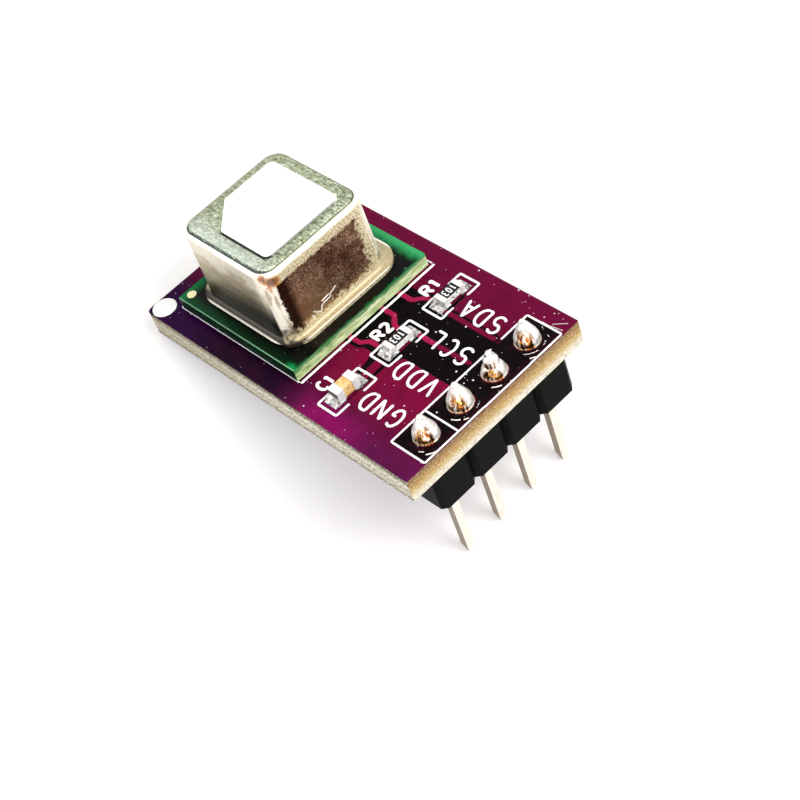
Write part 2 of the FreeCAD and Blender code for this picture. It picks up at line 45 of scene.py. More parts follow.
def toRow(points):
    # row = turn(tilt about Y) of board + origin, then millimetres to metres
    points = np.asarray(points, float)
    x, y, z = points[..., 0], points[..., 1], points[..., 2]
    c, s = math.cos(placing["tilt"]), math.sin(placing["tilt"])
    turned = np.stack([x * c - z * s, y, x * s + z * c], -1)
    return (turned + np.array(placing["origin"])) * metre


def turnToRow(vector):
    # the turn alone, for a direction
    return Vector(toRow(vector) - toRow((0, 0, 0))).normalized()


def linear(code):
    # sRGB hex to a linear colour with alpha 1
    parts = [int(code[i : i + 2], 16) / 255 for i in (1, 3, 5)]
    return tuple(p / 12.92 if p <= 0.04045 else ((p + 0.055) / 1.055) ** 2.4 for p in parts) + (1.0,)


# Distances on the board plane, for numpy arrays of points


def segmentDistance(x, y, a, b):
    # distance from (x, y) to the segment a-b
    dx, dy = b[0] - a[0], b[1] - a[1]
    along = np.clip(((x - a[0]) * dx + (y - a[1]) * dy) / (dx * dx + dy * dy + 1e-12), 0, 1)
    return np.hypot(x - a[0] - along * dx, y - a[1] - along * dy)


def pathDistance(x, y, path):
    # the least distance to any segment of the path
    return np.min([segmentDistance(x, y, a, b) for a, b in zip(path[:-1], path[1:])], axis=0)


def outlineDepth(x, y, outline):
    # signed distance, positive inside the closed outline: a point is inside where a line from it towards +x
    # crosses the outline an odd number of times
    closed = list(outline) + [outline[0]]
    inside = np.zeros(np.shape(x), bool)
    for a, b in zip(closed[:-1], closed[1:]):
        crosses = (a[1] > y) != (b[1] > y)
        level = a[0] + (y - a[1]) * (b[0] - a[0]) / ((b[1] - a[1]) or 1e-12)
        inside ^= crosses & (x < level)
    return np.where(inside, 1, -1) * pathDistance(x, y, closed)


def soft(value, low, high):
    # smooth step from 0 at low to 1 at high
    t = np.clip((value - low) / (high - low), 0, 1)
    return t * t * (3 - 2 * t)


# Meshes


def gridFaces(rows, columns, closed=False):
    # quads of a grid of rows x columns points; closed joins the last column to the first
    i, j = np.meshgrid(np.arange(rows - 1), np.arange(columns if closed else columns - 1), indexing="ij")
    k = (j + 1) % columns
    quads = np.stack([i * columns + j, i * columns + k, (i + 1) * columns + k, (i + 1) * columns + j], -1)
    return quads.reshape(-1, 4)


def meshPiece(name, shells, material, values=None):
    # shells: (points in board millimetres, faces); values: {attribute: one number per point}
    counts = np.cumsum([0] + [len(points) for points, faces in shells])
    points = toRow(np.concatenate([points for points, faces in shells]))
    faces = [[int(c) + int(start) for c in face] for start, (p, shell) in zip(counts, shells) for face in shell]
    mesh = bpy.data.meshes.new(name)
    mesh.from_pydata(points.tolist(), [], faces)
    for key, numbers in (values or {}).items():
        layer = mesh.attributes.new(key, "FLOAT", "POINT")
        layer.data.foreach_set("value", np.asarray(numbers, np.float32))
    mesh.polygons.foreach_set("use_smooth", [True] * len(mesh.polygons))
    mesh.materials.append(material)
    mesh.update()
    piece = bpy.data.objects.new(name, mesh)
    bpy.context.scene.collection.objects.link(piece)
    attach(piece, "root")


# Shader nodes

# each kind: Blender's node, its fixed settings, its sockets in the order of the values, its output (None: all)
nodeKinds = {
    "offset": ("VectorMath", {"operation": "SUBTRACT"}, (0, 1), 0),
    "unsigned": ("VectorMath", {"operation": "ABSOLUTE"}, (0,), 0),
    "distance": ("VectorMath", {"operation": "DISTANCE"}, (0, 1), "Value"),
    "split": ("SeparateXYZ", {}, (0,), None),
    "splitColour": ("SeparateColor", {}, (0,), None),
    "range": ("MapRange", {"interpolation_type": "SMOOTHSTEP"}, (0, 1, 2, 3, 4), 0),
    "mix": ("Mix", {"data_type": "RGBA"}, (0, 6, 7), 2),
    "ramp": ("ValToRGB", {}, (0,), 0),
    "noise": ("TexNoise", {}, ("Vector", "Scale", "Detail", "Roughness"), 0),
    "cells": ("TexVoronoi", {}, ("Vector", "Scale"), None),
    "stretch": ("Mapping", {}, ("Vector", "Scale"), 0),
    "fromFrame": ("Mapping", {"vector_type": "TEXTURE"}, ("Vector", "Location", "Rotation", "Scale"), 0),
    "turn": ("VectorRotate", {"rotation_type": "Y_AXIS"}, ("Vector", "Angle"), 0),
    "place": ("TexCoord", {}, (), "Object"),
    "normal": ("NewGeometry", {}, (), "Normal"),
    "attribute": ("Attribute", {}, (), "Fac"),
    "rays": ("LightPath", {}, (), None),
    "bump": ("Bump", {}, ("Height", "Distance", "Strength"), 0),
    "shader": ("BsdfPrincipled", {}, ("Base Color", "Roughness", "Metallic", "Specular IOR Level", "Normal"), 0),
    "glow": ("Emission", {}, ("Color", "Strength"), 0),
    "sky": ("Background", {}, ("Color", "Strength"), 0),
    "blend": ("MixShader", {}, (0, 1, 2), 0),
    "surface": ("OutputMaterial", {}, ("Surface",), None),
    "world": ("OutputWorld", {}, ("Surface",), None),
}
for kind in ("add", "subtract", "multiply", "maximum", "absolute"):
    nodeKinds[kind] = ("Math", {"operation": kind.upper()}, (0, 1), 0)


def addNode(tree, kind, *values, stops=(), **settings):
    # adds one node; a value is a number, a vector, a hex colour or a socket to link, and stops are a ramp's
    name, fixed, sockets, output = nodeKinds[kind]
    made = tree.nodes.new("ShaderNode" + name)
    for key, value in {**fixed, **settings}.items():
        setattr(made, key, value)
    for socket, value in zip(sockets, values):
        if isinstance(value, bpy.types.NodeSocket):
            tree.links.new(value, made.inputs[socket])
        else:
            made.inputs[socket].default_value = linear(value) if isinstance(value, str) else value
    if stops:
        ramp = made.color_ramp
        while len(ramp.elements) < len(stops):
            ramp.elements.new(1.0)
        for element, (position, code) in zip(ramp.elements, stops):
            element.position = position
            element.color = linear(code)
    return made.outputs if output is None else made.outputs[output]


def newMaterial(name):
    # the material, and addNode bound to its tree
    material = bpy.data.materials.new(name)
    material.use_nodes = True
    material.node_tree.nodes.clear()
    return material, partial(addNode, material.node_tree)


def boardSpace(add):
    # object coordinates turned to the board frame, in millimetres
    origin = tuple(v * metre for v in placing["origin"])
    return add("fromFrame", add("place"), origin, (0, -placing["tilt"], 0), (metre, metre, metre))


def boardNormal(add):
    # x, y and z of the surface normal in the board frame
    return add("split", add("turn", add("normal"), placing["tilt"]))


def specks(add, place, perMm, size, share):
    # small round dots: cell centres nearer than size mm, kept in the given share of cells
    cells = add("cells", place, perMm)
    near = add("range", cells["Distance"], size * perMm, size * perMm * 0.5)
    pick = add("splitColour", cells["Color"])[0]
    return add("multiply", near, add("range", pick, 1 - share, 1 - share + 0.02))


def zone(add, *ranges):
    # a mask: the product of smooth ranges, each a value, where it starts and ends, and its two levels
    mask = add("range", *ranges[0])
    for other in ranges[1:]:
        mask = add("multiply", mask, add("range", *other))
    return mask


def finishSurface(add, colour, roughness, metallic=0.0, specular=0.5, *, bump, bumpMm):
    # the finish, put on the material; bump is a height from 0 to 1, and bumpMm is what 1 stands for
    relief = add("bump", bump, bumpMm * metre, 1.0)
    add("surface", add("shader", colour, roughness, metallic, specular, relief))


# Solder mask sheet with the copper that shows through it, in mm

sheet = {
    "step": 0.07,  # spacing of its points
    "inset": 0.015,
    "length": 21.9,
    "width": 12.87,
    "corner": 0.3,
    "thickness": 0.012,
    "copper": 0.03,  # how far the copper lifts the mask
    "slope": 0.05,  # half the width of the step at the copper's border
    "sunk": -0.02,  # level under the laminate's face, where the mask is open
    "edgeOpen": 0.02,
    "traceHalf": 0.155,
    "pinX": 20.54,
    "pinY": (2.755, 5.295, 7.835, 10.375),
    "ringRadius": 0.7436,
    "ringOpen": 0.03,
    "fluxRadius": 0.98,  # low rim of dried flux round each ring
    "fluxWidth": 0.06,
    "fluxHeight": 0.04,
    "chipX": 14.7,
    "chipY": (2.435, 6.435, 10.435),
    "landHalf": (0.44, 1.2),
}

# outlines of the copper pours, and middle lines of the traces
pours = [
    [(0.0, 9.75), (12.3, 9.75), (13.35, 9.75), (13.62, 10.02), (13.98, 10.0), (13.98, 10.9), (15.4, 10.9),
     (15.45, 9.3), (21.9, 9.3), (21.9, 12.87), (0.0, 12.87)],
    [(0.0, 0.0), (21.9, 0.0), (21.9, 5.8), (15.75, 5.8), (15.3, 5.0), (15.28, 4.0), (15.28, 2.0), (15.05, 2.0),
     (15.05, 4.9), (14.5, 4.9), (14.5, 2.0), (14.16, 2.0), (14.16, 4.3), (13.9, 5.12), (13.35, 5.15), (12.85, 4.9),
     (12.2, 4.88), (0.0, 4.8)],
]

traces = [
    [(11.9, 7.72), (12.98, 7.72), (13.5, 7.22), (14.3, 7.05)],
    [(11.9, 5.25), (12.8, 5.27), (13.2, 5.64), (14.3, 5.64)],
    [(11.9, 9.05), (13.0, 9.05), (13.62, 9.62), (14.3, 9.62)],
    [(15.0, 7.45), (16.6, 7.45)],
    [(16.9, 7.45), (19.0, 7.5)],
    [(15.3, 9.46), (18.95, 9.46)],
]


def copperDepths(x, y):
    # signed distances in mm, positive inside: the copper pours and the traces
    pour = np.max([outlineDepth(x, y, outline) for outline in pours], axis=0)
    trace = sheet["traceHalf"] - np.min([pathDistance(x, y, path) for path in traces], axis=0)
    return pour, trace


def maskRise(pour, trace):
    # the mask's thickness, and a smooth step up where there is copper
    return sheet["thickness"] + sheet["copper"] * soft(np.maximum(pour, trace), -sheet["slope"], sheet["slope"])


def maskHeight(x, y):
    # the level that ink and flux lie on
    return maskRise(*copperDepths(x, y))


def maskSheet(material):
    # a height field z(x, y) over the board's top, let down at the rings, the solder lands and the edge
    columns = int(sheet["length"] / sheet["step"])
    rows = int(sheet["width"] / sheet["step"])
    inset, corner = sheet["inset"], sheet["corner"]
    x = np.linspace(inset, sheet["length"] - inset, columns)
    y = np.linspace(inset, sheet["width"] - inset, rows)
    y, x = np.meshgrid(y, x, indexing="ij")
    # points beyond a rounded corner move onto its arc
    cx = np.clip(x, corner, sheet["length"] - corner)
    cy = np.clip(y, corner, sheet["width"] - corner)
    reach = np.hypot(x - cx, y - cy)
    shrink = np.minimum(1, (corner - inset) / np.maximum(reach, 1e-9))
    x, y = cx + (x - cx) * shrink, cy + (y - cy) * shrink
    edge = corner - np.hypot(x - cx, y - cy)
    pour, trace = copperDepths(x, y)
    height = maskRise(pour, trace)
    for pinY in sheet["pinY"]:
        away = np.hypot(x - sheet["pinX"], y - pinY)
        height += sheet["fluxHeight"] * np.exp(-(((away - sheet["fluxRadius"]) / sheet["fluxWidth"]) ** 2))
        height = np.where(away < sheet["ringRadius"] + sheet["ringOpen"], sheet["sunk"], height)
    halfX, halfY = sheet["landHalf"]
    for chipY in sheet["chipY"]:
        land = (np.abs(x - sheet["chipX"]) < halfX) & (np.abs(y - chipY) < halfY)
        height = np.where(land, sheet["sunk"], height)
    height = np.where(edge < inset + sheet["edgeOpen"], sheet["sunk"], height)
    points = np.stack([x, y, height], -1).reshape(-1, 3)
    values = {"copper": pour.ravel(), "trace": trace.ravel()}
    meshPiece("solder_mask", [(points, gridFaces(rows, columns))], material, values)


# Noise has cells per millimetre, detail and roughness; specks have cells per millimetre, size in mm and share.
maskLook = {
    "mottle": (0.9, 4.0, 0.6),  # uneven thickness, clouds of about 1 mm
    "etch": (6.0, 3.0, 0.5),  # etched copper has a border that wanders every 0.17 mm
    "stain": (1.3, 4.0, 0.6),  # patches of dried flux
    "grain": (9.0, 4.0, 0.6),  # brushed copper below, 0.02 mm in truth, drawn at 0.11 mm so that it shows
    "dust": (1.7, 0.075, 0.2),
    "fineDust": (4.2, 0.032, 0.2),
    "spatter": (4.0, 0.05, 0.45),
    "spatterPatch": (1.1, 3.0, 0.5),
    "headerBox": (19.2, 1.3, 11.75),  # where the header outline starts in x, and its two sides in y
}


def maskColours(add, place):
    # the mask over copper: crimson, a little mottled, more violet along the near edge and towards the sensor, where
    # the violet is a painted reflection
    xyz = add("split", place)
    stops = [(0.0, "#560f40"), (0.045, "#5a0a34"), (0.1, "#6e0732"), (0.42, "#780633"), (0.8, "#5c0628"),
             (1.0, "#660632")]
    pourColour = add("ramp", add("range", xyz[1], 0.0, sheet["width"]), stops=stops)
    # painted dark violet reflection towards the sensor end
    sensorSideReflection = zone(add, (xyz[0], 14.0, 10.5), (xyz[1], 6.0, 1.5))
    violetReflection = add("mix", add("range", xyz[0], 6.5, 3.0), "#16031a", "#240432")
    pourColour = add("mix", sensorSideReflection, pourColour, violetReflection)
    cloudy = zone(add, (xyz[0], 12.5, 14.0), (xyz[0], 19.0, 16.0), (xyz[1], 1.9, 0.6, 0.0, 0.6))
    pourColour = add("mix", cloudy, pourColour, "#8a0a58")
    mottled = add("noise", place, *maskLook["mottle"])
    return xyz, add("mix", add("range", mottled, 0.35, 0.75, 0.0, 0.35), pourColour, "#38041c")


def maskMaterial():
    # epoxy solder mask, screened over etched copper: a smooth tinted gloss, near black on bare laminate,
    # crimson over the copper and redder over the traces
    material, add = newMaterial("solder_mask_purple_gloss")
    place = boardSpace(add)
    xyz, pourColour = maskColours(add, place)
    shift = add("range", add("noise", place, *maskLook["etch"]), 0.3, 0.7, -0.02, 0.02)
    pour = add("attribute", attribute_name="copper")
    trace = add("attribute", attribute_name="trace")
    colour = add("mix", add("range", add("add", pour, shift), -0.04, 0.05), "#050104", pourColour)
    moat = zone(add, (trace, -0.2, -0.1), (xyz[1], 11.0, 9.8))
    colour = add("mix", moat, colour, "#080206")
    fromResistor = zone(add, (xyz[0], 16.5, 16.3), (xyz[1], 8.4, 8.0))
    bright = add("maximum", add("range", xyz[0], 14.0, 13.6), fromResistor)
    traceColour = add("mix", bright, "#6a0a2e", "#9a1a45")
    colour = add("mix", add("range", add("add", trace, shift), -0.03, 0.04), colour, traceColour)

    # dark flux residue fills the header outline
    boxX, boxNear, boxFar = maskLook["headerBox"]
    boxed = zone(add, (xyz[0], boxX, boxX + 0.3), (xyz[1], boxNear, boxNear + 0.2), (xyz[1], boxFar, boxFar - 0.2))
    stain = add("noise", place, *maskLook["stain"])
    stained = add("multiply", boxed, add("range", stain, 0.25, 0.45, 0.82, 1.0))
    colour = add("mix", stained, colour, "#080305")
    redder = add("multiply", boxed, add("range", xyz[0], 21.2, 21.8, 0.0, 0.8))
    colour = add("mix", redder, colour, "#240510")

    # dust all over, and flux spatter near the pins
    dust = add("maximum", specks(add, place, *maskLook["dust"]), specks(add, place, *maskLook["fineDust"]))
    colour = add("mix", dust, colour, "#e4dbe2")
    patch = add("range", add("noise", place, *maskLook["spatterPatch"]), 0.5, 0.58)
    spatter = add("multiply", specks(add, place, *maskLook["spatter"]), patch)
    nearPins = zone(add, (xyz[0], 17.2, 18.6), (xyz[1], 5.0, 6.5))
    colour = add("mix", add("multiply", spatter, nearPins), colour, "#f4ece4")

    gloss = add("range", stain, 0.3, 0.7, 0.2, 0.34)
    grain = add("noise", place, *maskLook["grain"])
    finishSurface(add, colour, gloss, specular=0.04, bump=grain, bumpMm=0.006)
    return material


maskSheet(maskMaterial())
print("stage: solder mask")


# White marking ink: strokes swept along their paths

ink = {
    "height": 0.022,
    "letter": 0.175,  # width of a letter's stroke
    # across the stroke from -1 to 1, and up from the mask; the first and last points are sunk in it
    "profile": ((-1.0, -0.8), (-0.9, 0.6), (-0.5, 0.95), (0.0, 1.0), (0.5, 0.95), (0.9, 0.6), (1.0, -0.8)),
    "spacing": 0.08,  # of the profiles along a stroke
    "cornerReach": 0.6,  # of the width, where a corner's rounding starts
    "capTurns": (0, 25, 45, 65, 90),
    "capLeast": 0.12,  # share of the width left at the very end
    # letters in mm: width and height, distance from one to the next, stroke
    "pinNames": {"texts": ("GND", "VDD", "SCL", "SDA"), "x": 17.32, "shift": -0.14, "size": (0.66, 1.17),
                 "pitch": 1.07},
    "partNames": (
        ("R1", (13.24, 10.3), (0.5, 0.76), 0.64, 0.22),
        ("R2", (13.24, 6.5), (0.5, 0.76), 0.64, 0.22),
        ("C1", (13.3, 2.2), (0.42, 0.7), 0.53, 0.2),
    ),
    # two brackets round each chip: half width, reach along the board, shift of each pair, stroke
    "bracket": {"half": 0.74, "from": 0.52, "to": 1.5, "shifts": (0.08, 0, 0), "width": 0.155},
    # stroke and path of every other line
    "lines": (
        (0.13, [(21.8, 11.66), (19.3, 11.66), (19.3, 9.62)]),
        (0.13, [(19.3, 8.86), (19.3, 1.39), (21.8, 1.39)]),
        (0.11, [(21.8, 1.39), (21.8, 11.66)]),
        (0.13, [(19.35, 3.87), (21.75, 3.87)]),
        (0.17, [(12.15, 1.4), (12.15, 11.68)]),
        (0.09, [(12.05, 1.4), (1.75, 1.4), (1.62, 1.55), (1.62, 11.66), (12.0, 11.66)]),
    ),
    "dot": ((0.79, 0.79), 0.74),
    "blotches": (5.0, 4.0, 0.5),  # 0.2 mm, where the ink lies thinner
    "weave": (14.0, 3.0, 0.5),  # 0.07 mm, the printing screen's threads
}


def arc(cx, cy, rx, ry, start, end, count):
    # points of an ellipse between two turns in degrees
    turn = np.radians(np.linspace(start, end, count))
    return [(cx + rx * math.cos(t), cy + ry * math.sin(t)) for t in turn]


# strokes in a letter box one unit wide and one unit high
letters = {
    "G": [arc(0.52, 0.5, 0.5, 0.5, 48, 345, 18) + [(1.0, 0.42), (0.62, 0.42)]],
    "N": [[(0.04, 0.0), (0.04, 1.0)], [(0.04, 1.0), (0.96, 0.0)], [(0.96, 0.0), (0.96, 1.0)]],
    "D": [[(0.4, 0.0), (0.04, 0.0), (0.04, 1.0), (0.4, 1.0)] + arc(0.4, 0.5, 0.58, 0.5, 80, -80, 12) + [(0.4, 0.0)]],
    "V": [[(0.0, 1.0), (0.5, 0.0)], [(0.5, 0.0), (1.0, 1.0)]],
    "S": [arc(0.5, 0.74, 0.46, 0.26, 30, 180, 10) + arc(0.5, 0.74, 0.46, 0.26, 195, 262, 5)
          + arc(0.5, 0.26, 0.48, 0.26, 82, 15, 5) + arc(0.5, 0.26, 0.48, 0.26, 0, -150, 10)],
    "C": [arc(0.52, 0.5, 0.5, 0.5, 48, 312, 18)],
    "L": [[(0.08, 1.0), (0.08, 0.0), (0.95, 0.0)]],
    "A": [[(0.0, 0.0), (0.5, 1.0)], [(0.5, 1.0), (1.0, 0.0)], [(0.2, 0.33), (0.8, 0.33)]],
    "R": [[(0.05, 0.0), (0.05, 1.0), (0.55, 1.0)] + arc(0.6, 0.75, 0.35, 0.25, 80, -80, 8)
          + [(0.5, 0.5), (0.05, 0.5)], [(0.5, 0.5), (0.98, 0.0)]],
    "0": [arc(0.5, 0.5, 0.42, 0.5, 90, 450, 18)],
    "1": [[(0.22, 0.78), (0.52, 1.0), (0.52, 0.0)]],
    "2": [arc(0.5, 0.72, 0.42, 0.28, 160, -30, 10) + [(0.08, 0.0), (0.95, 0.0)]],
    "3": [arc(0.46, 0.75, 0.4, 0.25, 150, -90, 10) + arc(0.46, 0.25, 0.44, 0.25, 90, -150, 10)],
}


def roundCorners(path, reach, steps=4):
    # each corner becomes a quadratic curve that starts and ends at most reach before and after it
    path = [np.asarray(p, float) for p in path]
    out = [path[0]]
    for before, corner, after in zip(path[:-2], path[1:-1], path[2:]):
        first, second = before - corner, after - corner
        a = corner + first * min(0.5, reach / max(np.linalg.norm(first), 1e-9))
        b = corner + second * min(0.5, reach / max(np.linalg.norm(second), 1e-9))
        for t in np.linspace(0, 1, steps):
            out.append((1 - t) ** 2 * a + 2 * t * (1 - t) * corner + t * t * b)
    out.append(path[-1])
    return np.array(out)


def stroke(path, width, level, height=ink["height"]):
    # a swept stroke with rounded ends: half width w sqrt(1 - (d/w)^2) over the last w of its length
    path = roundCorners(path, width * ink["cornerReach"]) if len(path) > 2 else np.array(path, float)
    keep = np.r_[True, np.hypot(*np.diff(path, axis=0).T) > 1e-4]
    path = path[keep]
    half = width / 2
    run = np.r_[0, np.cumsum(np.hypot(*np.diff(path, axis=0).T))]
    caps = half * (1 - np.cos(np.radians(ink["capTurns"])))
    caps = caps[caps < run[-1] / 2]
    corners = run[(run > half) & (run < run[-1] - half)]
    between = np.arange(half + ink["spacing"] / 2, run[-1] - half, ink["spacing"])
    stations = np.unique(np.round(np.r_[caps, corners, between, run[-1] - caps], 3))
    middle = np.stack([np.interp(stations, run, path[:, k]) for k in (0, 1)], -1)
    tangent = np.gradient(middle, axis=0)
    tangent /= np.linalg.norm(tangent, axis=1)[:, None]
    normal = np.stack([-tangent[:, 1], tangent[:, 0]], -1)
    toEnd = np.clip(half - np.minimum(stations, run[-1] - stations), 0, half)
    halves = np.sqrt(np.maximum(half * half - toEnd * toEnd, (ink["capLeast"] * half) ** 2))
    across, up = np.array(ink["profile"]).T
    xy = middle[:, None, :] + normal[:, None, :] * (halves[:, None] * across[None, :])[..., None]
    ground = level(xy[..., 0], xy[..., 1]) if callable(level) else level
    z = ground + height * up[None, :] + np.zeros(xy.shape[:2])
    points = np.concatenate([xy, z[..., None]], -1)
    rows, columns = points.shape[:2]
    faces = gridFaces(rows, columns)[:, ::-1].tolist()
    faces += [list(range(columns)), [(rows - 1) * columns + k for k in range(columns)][::-1]]
    # the underside joins each profile's first and last points
    starts = [i * columns for i in range(rows)]
    faces += [[b + columns - 1, b, a, a + columns - 1] for a, b in zip(starts[:-1], starts[1:])]
    return points.reshape(-1, 3), faces


def word(text, centre, reading, size, pitch, width, level, height=ink["height"]):
    # letters centred on one point; reading is the direction of the line, tops are 90 degrees to its left
    reading = np.array(reading, float)
    top = np.array([-reading[1], reading[0]])
    shells = []
    for i, letter in enumerate(text):
        middle = np.array(centre) + reading * pitch * (i - (len(text) - 1) / 2)
        for path in letters[letter]:
            placed = [middle + reading * (u - 0.5) * size[0] + top * (v - 0.5) * size[1] for u, v in path]
            shells.append(stroke(placed, width, level, height))
    return shells


def disc(centre, radius, level, height, count=40):
    # a flat disc with a rounded rim: rings of shrinking radius that rise from under the mask
    turn = np.linspace(0, 2 * np.pi, count, endpoint=False)
    rings = []
    for share, up in ((1.0, -0.8), (0.97, 0.7), (0.9, 1.0), (0.45, 1.0)):
        x, y = centre[0] + radius * share * np.cos(turn), centre[1] + radius * share * np.sin(turn)
        rings.append(np.stack([x, y, level(x, y) + up * height], -1))
    top = list(range((len(rings) - 1) * count, len(rings) * count))
    faces = gridFaces(len(rings), count, closed=True).tolist() + [top, list(range(count))[::-1]]
    return np.concatenate(rings), faces


def silkscreen(material):
    # all strokes are one piece; pin names are read from the header side, part names from the near side
    names, bracket = ink["pinNames"], ink["bracket"]
    shells = []
    for text, pinY in zip(names["texts"], sheet["pinY"]):
        centre = (names["x"], pinY + names["shift"])
        shells += word(text, centre, (-1, 0), names["size"], names["pitch"], ink["letter"], maskHeight)
    for text, centre, size, pitch, width in ink["partNames"]:
        shells += word(text, centre, (0, 1), size, pitch, width, maskHeight)
    for chipY, shift in zip(sheet["chipY"], bracket["shifts"]):
        low = sheet["chipX"] - bracket["half"] + shift
        high = sheet["chipX"] + bracket["half"] + shift
        for side in (-1, 1):
            far, near = chipY + side * bracket["to"], chipY + side * bracket["from"]
            path = [(low, near), (low, far), (high, far), (high, near)]
            shells.append(stroke(path, bracket["width"], maskHeight))
    shells += [stroke(path, width, maskHeight) for width, path in ink["lines"]]
    shells.append(disc(*ink["dot"], maskHeight, ink["height"]))
    meshPiece("silkscreen", shells, material)


def inkMaterial():
    # white epoxy ink, screen printed: matt and opaque, faintly blotched
    material, add = newMaterial("marking_ink_white_printed")
    place = boardSpace(add)
    blotches = add("range", add("noise", place, *ink["blotches"]), 0.35, 0.7)
    weave = add("noise", place, *ink["weave"])
    finishSurface(add, add("mix", blotches, "#ffffff", "#f1eef1"), 0.55, bump=weave, bumpMm=0.01)
    return material


inkWhite = inkMaterial()
silkscreen(inkWhite)
print("stage: silkscreen")


# Numbers printed on the resistors

number = {"text": "103", "size": (0.2, 0.46), "pitch": 0.29, "width": 0.075, "level": 0.5, "height": 0.012}
for index, chipY in ((2, sheet["chipY"][1]), (1, sheet["chipY"][2])):
    figures = word(number["text"], (sheet["chipX"], chipY), (0, -1), number["size"], number["pitch"],
                   number["width"], number["level"], number["height"])
    meshPiece(f"resistor_{index}_number", figures, inkWhite)


# Materials of the built nodes, with their noise as above

laminateLook = {
    "fibre": (1.6, 6.0, 0.75),  # glass cloth: layers of 0.12 mm in bundles of 0.4 mm
    "fibreStretch": (1.6, 1.6, 5.0),
    "grit": (9.0, 3.0, 0.75),  # sawn glass of 0.02 mm, drawn at 0.11 mm so that it shows
    "depth": 1.55,
}


def laminateMaterial():
    # glass epoxy laminate, sawn and left bare: pale chalky edges in layers, with a painted highlight line along the
    # long edges, browner on the end,
    #  with dark and white grit and painted shade towards the sensor end and on the end face; its faces have the same
    #  purple mask as the top
    material, add = newMaterial("laminate_glass_epoxy_sawn")
    place = boardSpace(add)
    xyz, pourColour = maskColours(add, place)
    normal = boardNormal(add)
    fibre = add("noise", add("stretch", place, laminateLook["fibreStretch"]), *laminateLook["fibre"])
    grit = add("noise", place, *laminateLook["grit"])
    depth = add("range", xyz[2], 0.0, -laminateLook["depth"])
    # down the long edges: a dark top band, a painted cream highlight line and a darker foot
    longStops = [(0.0, "#4f4836"), (0.1, "#a39c86"), (0.3, "#e6e2d2"), (0.6, "#c2bca6"), (0.85, "#d6d0bc"),
                 (1.0, "#8a826c")]
    endStops = [(0.0, "#7c5422"), (0.18, "#b0843c"), (0.45, "#cfa862"), (0.68, "#dfc890"), (0.9, "#fbf6e4")]
    dark = add("range", fibre, 0.56, 0.38)
    pale = add("range", fibre, 0.56, 0.68)
    long = add("mix", add("multiply", dark, 0.75), add("ramp", depth, stops=longStops), "#5a523f")
    long = add("mix", add("multiply", pale, 0.8), long, "#f0ede2")
    end = add("mix", add("multiply", dark, 0.4), add("ramp", depth, stops=endStops), "#8a6030")
    end = add("mix", add("multiply", pale, 0.7), end, "#f2e3b8")
    edge = add("mix", add("range", normal[0], 0.4, 0.8), long, end)
    sawn = (normal[0], 0.8, 0.4, 0.5, 1.0)
    edge = add("mix", zone(add, (grit, 0.55, 0.6, 0.0, 0.85), sawn), edge, "#443a29")
    edge = add("mix", zone(add, (grit, 0.44, 0.39, 0.0, 0.8), sawn), edge, "#fffcf2")
    # painted shade towards the sensor end and on the end face
    shade = add("maximum", add("range", xyz[0], 14.0, 3.0, 0.0, 0.4), add("range", normal[0], 0.6, 0.9, 0.0, 0.3))
    edge = add("mix", shade, edge, "#7c6f58")
    flat = add("range", add("absolute", normal[2]), 0.5, 0.8)
    colour = add("mix", flat, edge, pourColour)
    finishSurface(add, colour, add("range", flat, 0, 1, 0.7, 0.3), specular=0.12, bump=fibre, bumpMm=0.02)
    return material


substrateLook = {
    "cloud": (2.0, 4.0, 0.6),  # uneven thickness of the mask
    "streak": (1.0, 4.0, 0.65),  # snapped edge: glass bundles of 0.25 mm that run along it
    "streakStretch": (0.8, 0.8, 4.0),
    "flecks": (4.0, 0.035, 0.2),
    # the substrate's four edges in the board frame
    "left": 1.83,
    "right": 11.93,
    "near": 1.385,
    "far": 11.485,
}


